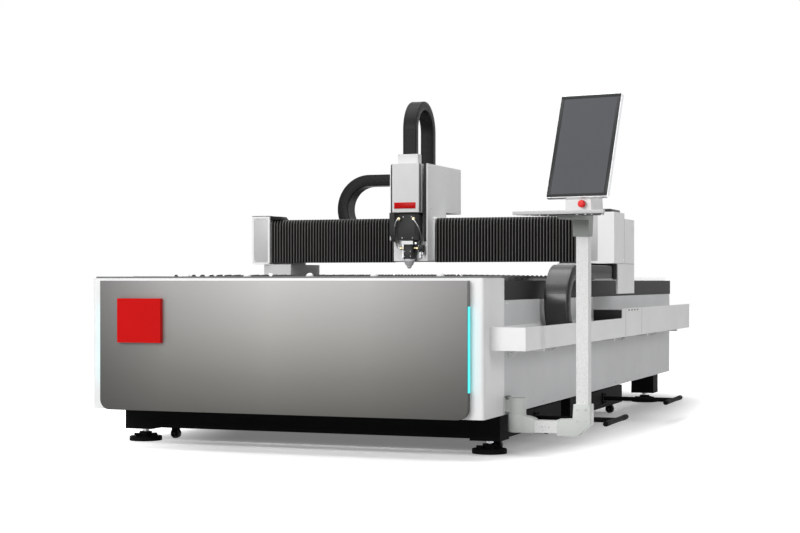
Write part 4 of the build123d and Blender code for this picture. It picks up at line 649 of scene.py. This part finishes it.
# Bellows: rounded ridges, deep valleys, hemmed skin
def bellows(name, x_fixed, x_moving):
    span = x_moving - x_fixed
    folds = round(abs(span) / 18)
    pitch = span / folds
    shape = [(0.0, RIDGE), (0.16, 10.5), (0.31, 4.0), (0.40, 0.8), (0.5, 0.0), (0.60, 0.8), (0.69, 4.0),
             (0.84, 10.5)]

    def skin(inset):
        front, top, back, foot, cloth = -167 + inset, 1160 - inset, -57, 905, 2.5
        outer = [(front, foot), (front, 1000), (front, 1090), (front, top - 26), (front + 4, top - 14),
                 (front + 14, top - 4), (front + 26, top), (front + 60, top), (back, top)]
        inner = [(back, top - cloth), (front + 27, top - cloth), (front + cloth + 4, top - 15),
                 (front + cloth, top - 28), (front + cloth, foot)]
        return outer + inner

    group = 4
    for first in range(0, folds, group):
        last = min(first + group, folds)
        rows = [(n + f, inset) for n in range(first, last) for f, inset in shape] + [(last, RIDGE)]
        bm = bmesh.new()
        shade = bm.verts.layers.float_color.new("ridge_shade")
        rings = []
        for place_, inset in rows:
            x = x_fixed + place_ * pitch
            ring = [bm.verts.new(P(x, y, z)) for y, z in skin(inset)]
            # fold depth for the cloth's painted shade: 1 on the ridges, 0 in the valleys
            level = max(0.0, 1 - inset / RIDGE)
            for v in ring:
                v[shade] = (level, level, level, 1)
            rings.append(ring)
        skin_over(bm, rings)
        made = piece(f"{name}_{first // group + 1:02d}", bm, "cloth",
                     replaces=[name], sharp=70)
        share = (first + last) / 2 / folds
        middle = P(x_fixed + (first + last) / 2 * pitch, -110, 1030)
        inward = Vector((1 if span > 0 else -1, 0, 0))
        follow(made, "gantry", "carriage", middle, inward, share, abs(span) / 1000)


bellows("bellows_left", -CAP_X, -155)
bellows("bellows_right", CAP_X, 91)


# Bed details
bm = bmesh.new()
for side, facing in ((-1, TO_LEFT), (1, TO_RIGHT)):
    for y in range(-1740, 2120, 320):
        for z in (202, 694):
            screw(bm, spot(side * SIDE_X, y, z, facing), 4.5)
for x in range(-940, 941, 235):
    for z in (202, 694):
        screw(bm, spot(x, REAR_Y, z, TO_REAR), 4.5)
for z in (208, 244):
    for dy in (-35.2, 35.2):
        screw(bm, spot(SIDE_X + 4, PIVOT_Y + dy, z, TO_RIGHT), 5)
piece("bed_screws", bm, "zinc", "bed")

bm = bmesh.new()
slab(bm, SIDE_X, SIDE_X + 4, -1790, -1704, 186, 268, 1)
slab(bm, SIDE_X, SIDE_X + 14, -1786, -1708, 264, 268, 1, 1)
piece("swivel_wall_plate", bm, "casting strip", "bed")

bm = bmesh.new()
for y in (20, 449):
    slab(bm, TRAY_X, TRAY_X + 0.4, y - 1, y + 1, 490, 643)
for x in (-330, 330):
    slab(bm, x - 1, x + 1, REAR_Y, REAR_Y + 0.5, 186, 707)
piece("panel_seams", bm, "seam", "bed")

bm = bmesh.new()
for y in (108, 183, 258, 333):
    slab(bm, TRAY_X - 0.1, TRAY_X + 0.5, y - 16, y + 16, 631, 638, 0.2)
piece("tray_slots", bm, "dark", "bed")

# Dark plate with a white lip across the mouth of the covered rear half of the tray, as painted shade, and
# flanges of the tray's arms
bm = bmesh.new()
slab(bm, 993.2, 1152.8, -66, -63, 564, 638, 0.5)
slab(bm, 993.2, 1152.8, -66.8, -60, 638, 645, 0.8, 1)
piece("tray_mouth_painted_shade", bm, "dark white", "bed")
bm = bmesh.new()
for y in (-1673, -950, -226, 641, 1565):
    slab(bm, SIDE_X, SIDE_X + 2.5, y - 34, y + 34, 444, 486.5, 1)
    for dy in (-23, 23):
        bolt(bm, spot(SIDE_X + 2.5, y + dy, 464, TO_RIGHT), 4.5, 1)
piece("tray_arm_flanges", bm, "white zinc", "bed")

# Louvred fields, latch and cable glands on the rear panel
bm = bmesh.new()
for middle in (-660, 660):
    slab(bm, middle - 190, middle + 190, REAR_Y, REAR_Y + 3, 330, 590, 1.2)
    for n in range(11):
        z = 352 + n * 21
        rise = [(0, 0), (9, 3), (9, 9), (7, 12), (0, 13)]
        skin_over(bm, [[bm.verts.new(P(x, REAR_Y + 3 + dy, z + dz)) for dy, dz in rise]
                       for x in (middle - 160, middle + 160)])
piece("rear_louvres", bm, "side", "bed")

bm = bmesh.new()
slab(bm, -24, 24, REAR_Y, REAR_Y + 6, 420, 500, 3)
slab(bm, -15, 15, REAR_Y + 6, REAR_Y + 15, 430, 470, 3, 1)
turned(bm, [(0, 0), (9, 0), (9, 4), (7, 5), (0, 5)], spot(0, REAR_Y + 6, 486, TO_REAR), 20, 1)
for x in (-300, 300):
    slab(bm, x - 40, x + 40, REAR_Y, REAR_Y + 5, 250, 300, 2)
    turned(bm, [(0, 0), (15, 0), (15, 12), (12, 15), (8, 15), (8, 6), (0, 6)],
           spot(x, REAR_Y + 5, 275, TO_REAR), 20, 1)
piece("rear_latch_and_glands", bm, "strip dark", "bed")

# Rubber stops at the ends of the guides
bm = bmesh.new()
for side in (-1, 1):
    for y, facing in ((-1765, TO_REAR), (2167, TO_FRONT)):
        x = side * GUIDE_X
        slab(bm, x - 14, x + 14, y - 5, y + 5, 800, 821, 2)
        seat = spot(x, y, 811, facing) @ Matrix.Translation((0, 0, 4))
        turned(bm, [(0, 0), (8, 0), (8, 6), (6, 10), (0, 11)], seat, 20, 1)
piece("guide_end_stops", bm, "black rubber", "bed")

# Anchor of the long chain's lower run
bm = bmesh.new()
slab(bm, 1016, 1130, -150, -60, 490, 496, 1)
slab(bm, 1016, 1022, -150, -60, 490, 560, 1)
slab(bm, 1124, 1130, -150, -60, 490, 560, 1)
for y in (-125, -85):
    for x in (1045, 1101):
        bolt(bm, spot(x, y, 496), 5)
piece("y_chain_anchor", bm, "steel", "bed")

# Gantry details
bm = bmesh.new()
for side in (-1, 1):
    outline = [(CAP_X, 1160), (CAP_X, 1180), (884, 1180), (866, 1160)]
    skin_over(bm, [[bm.verts.new(P(side * x, y, z)) for x, z in outline] for y in (-166, -60)])
bmesh.ops.bevel(bm, geom=list(bm.edges), offset=0.002, segments=2, affect="EDGES", profile=0.5)
slab(bm, -1055, -CAP_X, -177, 73, 1180, 1184, 1)
piece("bellows_end_covers", bm, "beam_black", "gantry")

# Thin sheets in the darker cap paint on the end caps' front faces: painted shade
bm = bmesh.new()
for x in (-998, 998):
    slab(bm, x - 44.5, x + 44.5, -175.8, -174.6, 908.5, 1167.5, 0.3)
piece("cap_faces_painted_shade", bm, "cap", "gantry")

bm = bmesh.new()
slab(bm, 1011, 1135, -212, -118, 881, 894, 1)
slab(bm, 1133.5, 1137, -205, -119, 806, 893, 1)
slab(bm, 1009, 1012.5, -205, -119, 806, 893, 1)
piece("y_chain_bracket", bm, "black", "gantry")

bm = bmesh.new()
slab(bm, 1062, 1120, -196, 36, 1177, 1194, 2)
piece("cover_cable_gland", bm, "bezel", "gantry")

bm = bmesh.new()
for y in (-190, 28, 282):
    for z in (918, 1122 if y > 40 else 1155):
        screw(bm, spot(COVER_X, y, z, TO_RIGHT), 4.5)
for y in (-100, 282):
    screw(bm, spot(COVER_X, y, 760, TO_RIGHT), 4.5)
for side in (-1, 1):
    for z in (914, 1162):
        for inset in (18, 96):
            screw(bm, spot(side * (CAP_X + inset), -175, z, TO_FRONT), 3.5)
for y in (-140, -80, 200, 250):
    screw(bm, spot(-984, y, 880, TO_LEFT), 5)
for y in (-140, 40):
    for z in (930, 1150):
        screw(bm, spot(-1055, y, z, TO_LEFT), 4.5)
for x in range(-780, 781, 260):
    screw(bm, spot(x, 60, 1006, TO_REAR), 5)
piece("gantry_screws", bm, "zinc", "gantry")

bm = bmesh.new()
slab(bm, COVER_X, COVER_X + 0.4, 46, 48, 898, 1145)
slab(bm, COVER_X, COVER_X + 0.4, -118, 300, 894, 896)
piece("cover_seams", bm, "seam", "gantry")

bm = bmesh.new()
for side in (-1, 1):
    x = side * MOTOR_X
    for n in range(6):
        slab(bm, x - 42.5, x + 42.5, 110.5, 195.5, 938 + n * 10, 943 + n * 10, 1)
    slab(bm, x - 22, x + 22, 193, 226, 972, 1000, 4)
    turned(bm, [(0, 0), (11, 0), (11, 12), (9, 14), (0, 14)], spot(x, 224, 986, TO_REAR), 18, 1)
    slab(bm, x - 44, x + 44, 109, 197, 1008, 1016, 3)
piece("y_motor_fittings", bm, "motor zinc", "gantry")

# Carriage details
bm = bmesh.new()
# dark sheets beside the z cover and at the left bellows end: painted shade in the gaps
for x0, x1 in ((-143.5, -119), (53, 71.5)):
    slab(bm, x0, x1, -252, -246, 1022, 1462, 0.6)
slab(bm, -155, -149, -170, -62, 914, 1158, 1.5)
piece("carriage_shade_liners", bm, "dark", "carriage")
bm = bmesh.new()
slab(bm, 77, 91, -165, -62, 914, 1158, 1.5)
piece("bellows_end_plate", bm, "white", "carriage")

bm = bmesh.new()
for x, facing in ((-149, TO_LEFT), (77, TO_RIGHT)):
    for y, z in ((-196, 1210), (335, 1215), (335, 1446), (65, 1446), (-216, 1446), (65, 1215)):
        screw(bm, spot(x, y, z, facing), 4)
for x in (-130, 58):
    for z in (1215, 1446):
        screw(bm, spot(x, 353, z, TO_REAR), 4)
piece("carriage_screws", bm, "zinc", "carriage")

bm = bmesh.new()
for n in range(9):
    slab(bm, -106, 34, 352.6, 354, 1260 + n * 18, 1267 + n * 18, 0.5)
piece("carriage_vents", bm, "dark", "carriage")

bm = bmesh.new()
slab(bm, -84, 24, 30, 101, 1465, 1469, 1)
for x in (-77, 17):
    for y in (40, 91):
        bolt(bm, spot(x, y, 1469), 4)
piece("z_chain_anchor", bm, "steel", "carriage")

# Head details: bare red plate, dark grey sheets on the cover's sides as painted shade, screws, plates
bm = bmesh.new()
slab(bm, -103, 26, -309, -306.8, 1208, 1243, 1.0)
piece("cover_plate_bare", bm, "red", "head")

bm = bmesh.new()
# dark grey sheets on the z cover's sides: painted shade
for side in (-1, 1):
    x = HEAD_X + side * 81
    slab(bm, min(x, x + side * 0.8), max(x, x + side * 0.8), -302, -271, 1190, 1462, 0.3)
piece("cover_side_painted_shade", bm, "strip", "head")

bm = bmesh.new()
for x in (-107, 35):
    for z in (1198, 1452):
        screw(bm, spot(x, -307, z, TO_FRONT), 2.6)
for x, z in ((-61, 1162), (-11, 1162), (-67, 1042), (-5, 1042)):
    screw(bm, spot(x, -274, z, TO_FRONT), 4)
for x in (-51, -21):
    slab(bm, x - 2.5, x + 2.5, -275, -273.8, 1059, 1074, 0.4)
for x in (-54, -18):
    for z in (938, 966):
        screw(bm, spot(x, -270, z, TO_FRONT), 3)
for y in (-258, -226):
    for z in (1048, 1100, 1160):
        screw(bm, spot(27, y, z, TO_RIGHT), 3)
piece("head_screws", bm, "zinc", "head")

bm = bmesh.new()
slab(bm, -82, 10, -275.2, -273.6, 1034, 1183, 1.2)
slab(bm, -60, -12, -271.4, -269.6, 928, 976, 1)
slab(bm, 26.5, 30, -264, -214, 1040, 1170, 1.2)
turned(bm, [(33, 0), (33, 6), (30, 8), (27, 8), (27, 0)], spot(HEAD_X, HEAD_Y, 1022), 32)
turned(bm, [(32, 0), (32, 6), (29, 7), (27, 7), (27, 0)], spot(HEAD_X, HEAD_Y, 924), 32)
piece("head_plates", bm, "head", "head")

# Height sensor with its knob and plug, right of the lower head
bm = bmesh.new()
slab(bm, -8, 30, -252, -222, 996, 1026, 2)
slab(bm, 20, 50, -256, -220, 962, 1004, 2.5)
turned(bm, [(0, 0), (11, 0), (11, 9), (9, 11), (0, 11)], spot(34, -256, 984, TO_FRONT), 20)
turned(bm, [(0, 0), (7, 0), (7, 12), (5, 14), (0, 14)], spot(42, -238, 962, DOWN), 16, 1)
turned(bm, [(0, 0), (9, 0), (9, 5), (7, 6), (0, 6)], spot(6, -252, 1011, TO_FRONT), 6, 1)
for z in (970, 998):
    screw(bm, spot(25, -256, z, TO_FRONT), 2.6, 1)
piece("height_sensor", bm, "head zinc", "head")


# Rigid gas lines with their nuts
NUT = [(0, 0), (9.5, 0), (9.5, 9), (8, 10), (0, 10)]
bm = bmesh.new()
for side in (-1, 1):
    top_x, low_x = HEAD_X + side * 44, HEAD_X + side * 55
    out = TO_RIGHT if side > 0 else TO_LEFT
    tube(bm, [(top_x, -292, 1150), (top_x, -304, 1150), (top_x + side * 12, -308, 1138),
              (top_x + side * 34, -284, 1090), (low_x + side * 24, -250, 1030), (low_x + side * 18, HEAD_Y, 988),
              (low_x + side * 8, HEAD_Y, 985), (low_x - side * 6, HEAD_Y, 985)], 3.4)
    turned(bm, NUT, spot(top_x, -288, 1150, TO_FRONT), 6, 1)
    turned(bm, NUT, spot(low_x - side * 9, HEAD_Y, 985, out), 6, 1)
piece("head_gas_lines", bm, "zinc brass", "head")

# Console castings and trim
bm = bmesh.new()
casting(bm, [(1240, 94), (1334, 94), (1394, 146), (1394, 241), (1316, 241), (1316, 170), (1240, 170)],
        -1784, -1710, 3)
casting(bm, [(1060, 103), (1132, 103), (1132, 168), (1100, 178), (1060, 184)], -1780, -1714, 3)
turned(bm, [(41.2, 0), (42, 1), (42, 82.5), (41.2, 83.5)], spot(PIVOT_X, PIVOT_Y, 106), 40)
turned(bm, [(0, -3), (30, -3), (38, 0), (41, 0), (41, 1), (0, 1)], spot(PIVOT_X, PIVOT_Y, 106), 40)
piece("console_castings", bm, "casting", "console_arm")

bm = bmesh.new()
for x in (1168, 1200):
    screw(bm, spot(x, -1775, 134, TO_FRONT), 4)
for z in (166, 218):
    for x in (1335, 1376):
        screw(bm, spot(x, -1784, z, TO_FRONT), 4)
piece("arm_screws", bm, "casting", "console_arm")

# Dark wing on the carriage's left cheek: painted shade on the cheek's inner face
bm = bmesh.new()
casting(bm, [(-152, 1187), (-120, 1187), (-120, 1030), (-136, 1030), (-152, 1066)], -256, -250, 0.6)
piece("cheek_wing_painted_shade", bm, "dark", "carriage")

# Monitor and keyboard board, in the turned frames of the post and the screen
POST = Matrix.Translation((POST_X, PIVOT_Y, 0)) @ Matrix.Rotation(radians(-9.5), 4, "Z")
SCREEN = POST @ Matrix.Translation((9, -105, 1174.5)) @ Matrix.Rotation(radians(-20), 4, "X")
bm = bmesh.new()
for x0, x1, z0, z1 in ((-147, 147, 3, 18), (-147, 147, 489, 504), (-147, -130, 18, 489),
                       (130, 147, 18, 489)):
    slab(bm, x0, x1, -0.7, 0.3, z0, z1, 0.25, 0, SCREEN)
piece("screen_bezel", bm, "bezel", "console_head")

bm = bmesh.new()
slab(bm, -118, 118, 21.5, 29, 130, 450, 4, 0, SCREEN)
slab(bm, -60, 60, 28, 40, 200, 330, 4, 0, SCREEN)
for x in (-45, 45):
    for z in (215, 315):
        screw(bm, SCREEN @ spot(x, 40, z, TO_REAR), 4, 1)
for n in range(10):
    slab(bm, -90, 90, 28.6, 29.6, 350 + n * 8, 353 + n * 8, 0.3, 2, SCREEN)
piece("monitor_back", bm, "silver zinc dark", "console_head")

bm = bmesh.new()
slab(bm, -228, 210, -268, -263, 1093, 1109, 1.5, 0, POST)
slab(bm, -128, 110, -65, -59, 1093, 1109, 1.5, 0, POST)
for x, turn in ((166, 24.07), (-184, -24.07)):
    slope = POST @ Matrix.Translation((x, -163, 0)) @ Matrix.Rotation(radians(turn), 4, "Z")
    slab(bm, -2.5, 2.5, -110, 110, 1093, 1109, 1.5, 0, slope)
piece("board_rim", bm, "cap", "console_head")

bm = bmesh.new()
# dark plate under the keyboard board: painted shade
outline = [(-214, -256), (196, -256), (112, -70), (-130, -70)]
skin_over(bm, [[bm.verts.new(place(Vector((x, y, z)), POST)) for x, y in outline] for z in (1092, 1095.8)])
piece("board_underside_painted_shade", bm, "dark", "console_head")

bm = bmesh.new()
for x in (-160, -110, -70, 70, 110, 140):
    screw(bm, POST @ spot(x, -235, 1092, DOWN), 4)
piece("board_screws", bm, "zinc", "console_head")

# Cart details: rolled rims, grips on the pull bars
for name, y in (("front", -1150), ("rear", 295)):
    bm = bmesh.new()
    for y0 in (-490, 484):
        slab(bm, -870, 963, y + y0, y + y0 + 6, 164, 170, 1.5)
    for x0 in (-870, 957):
        slab(bm, x0, x0 + 6, y - 490, y + 490, 164, 170, 1.5)
    slab(bm, 963, 965, y - 300, y + 300, 84, 92, 0.6)
    for dy in (-24, 24):
        for z in (98, 142):
            bolt(bm, spot(969, y + dy, z, TO_RIGHT), 4.5)
    piece(f"{name}_cart_rim", bm, "black", f"cart_{name}")
    bm = bmesh.new()
    for side in (-1, 1):
        facing = TO_REAR if side > 0 else TO_FRONT
        turned(bm, [(12.6, -92), (13.2, -90), (13.8, -60), (13.2, -45), (13.8, -30), (13.2, -8), (11, 0),
                    (0, 1.5)], spot(1369, y + side * 225, 120, facing), 20)
    piece(f"{name}_cart_grips", bm, "black", f"cart_{name}")

# Floor, light and camera
floor_bm = bmesh.new()
bmesh.ops.create_grid(floor_bm, x_segments=1, y_segments=1, size=40)
floor_mesh = bpy.data.meshes.new("floor")
floor_bm.to_mesh(floor_mesh)
floor_bm.free()
floor = bpy.data.objects.new("floor", floor_mesh)
bpy.context.scene.collection.objects.link(floor)
floor.location.z = -0.0005
ground = bpy.data.materials.new("floor_white")
ground.use_nodes = True
tree = ground.node_tree
tree.nodes.remove(tree.nodes["Principled BSDF"])
matte = tree.nodes.new("ShaderNodeBsdfDiffuse")
# glow seen by camera rays, weak near the machine and stronger away from it: painted light that trims the floor's
# shadow to an oval round the machine
painted_floor_glow = tree.nodes.new("ShaderNodeEmission")
place_ = tree.nodes.new("ShaderNodeTexCoord")
plan = tree.nodes.new("ShaderNodeVectorMath")
plan.operation = "MULTIPLY"
plan.inputs[1].default_value = (1.5, 0.62, 0.0)
link(tree, place_, "Object", plan, 0)
away = tree.nodes.new("ShaderNodeVectorMath")
away.operation = "LENGTH"
link(tree, plan, "Vector", away, 0)
rise = tree.nodes.new("ShaderNodeMapRange")
rise.interpolation_type = "SMOOTHSTEP"
for name, value in (("From Min", 1.45), ("From Max", 2.4), ("To Min", 0.17), ("To Max", 0.85)):
    rise.inputs[name].default_value = value
link(tree, away, "Value", rise, "Value")
link(tree, rise, "Result", painted_floor_glow, "Strength")
through = seen_directly(tree)
shade = tree.nodes.new("ShaderNodeMix")
shade.data_type = "RGBA"
shade.inputs["A"].default_value = (0.45, 0.45, 0.45, 1)
shade.inputs["B"].default_value = (0.9, 0.9, 0.9, 1)
link(tree, through, "Value", shade, "Factor")
tree.links.new(shade.outputs["Result"], matte.inputs["Color"])
off = tree.nodes.new("ShaderNodeEmission")
off.inputs["Strength"].default_value = 0.0
pick = tree.nodes.new("ShaderNodeMixShader")
link(tree, through, "Value", pick, 0)
link(tree, off, "Emission", pick, 1)
link(tree, painted_floor_glow, "Emission", pick, 2)
both = tree.nodes.new("ShaderNodeAddShader")
link(tree, matte, "BSDF", both, 0)
link(tree, pick, "Shader", both, 1)
link(tree, both, "Shader", tree.nodes["Material Output"], "Surface")
floor_mesh.materials.append(ground)

scene = bpy.context.scene
world = bpy.data.worlds.new("studio")
scene.world = world
world.use_nodes = True
tree = world.node_tree
sky = tree.nodes["Background"]
sky.inputs["Color"].default_value = (1, 1, 1, 1)
sky.inputs["Strength"].default_value = 0.30
white = tree.nodes.new("ShaderNodeBackground")
white.inputs["Color"].default_value = (1, 1, 1, 1)
white.inputs["Strength"].default_value = 1.0
pick = tree.nodes.new("ShaderNodeMixShader")
link(tree, seen_directly(tree), "Value", pick, 0)
link(tree, sky, "Background", pick, 1)
link(tree, white, "Background", pick, 2)
link(tree, pick, "Shader", tree.nodes["World Output"], "Surface")


def lamp(name, place_, aim, size, power):
    light = bpy.data.lights.new(name, "AREA")
    light.shape = "RECTANGLE"
    light.size, light.size_y = size
    light.energy = power
    made = bpy.data.objects.new(name, light)
    scene.collection.objects.link(made)
    made.location = place_
    made.rotation_euler = (Vector(aim) - Vector(place_)).to_track_quat("-Z", "Y").to_euler()


lamp("overhead", (-0.6, -1.0, 6.0), (0, 0, 0.6), (5.0, 6.0), 340)
lamp("front", (-1.6, -8.5, 3.4), (0, -1.0, 0.7), (4.5, 3.0), 385)
lamp("right_fill", (9.0, -3.0, 4.2), (0.4, 0, 0.9), (4.0, 3.0), 165)

camera = bpy.data.cameras.new("camera")
camera.lens = 73.6
camera.sensor_width = 36
camera.shift_y = 0.01775
eye = bpy.data.objects.new("camera", camera)
scene.collection.objects.link(eye)
eye.location = P(3160, -8987, 800)
eye.rotation_euler = (radians(90), 0, radians(20.4))
scene.camera = eye
scene.view_settings.view_transform = "Standard"
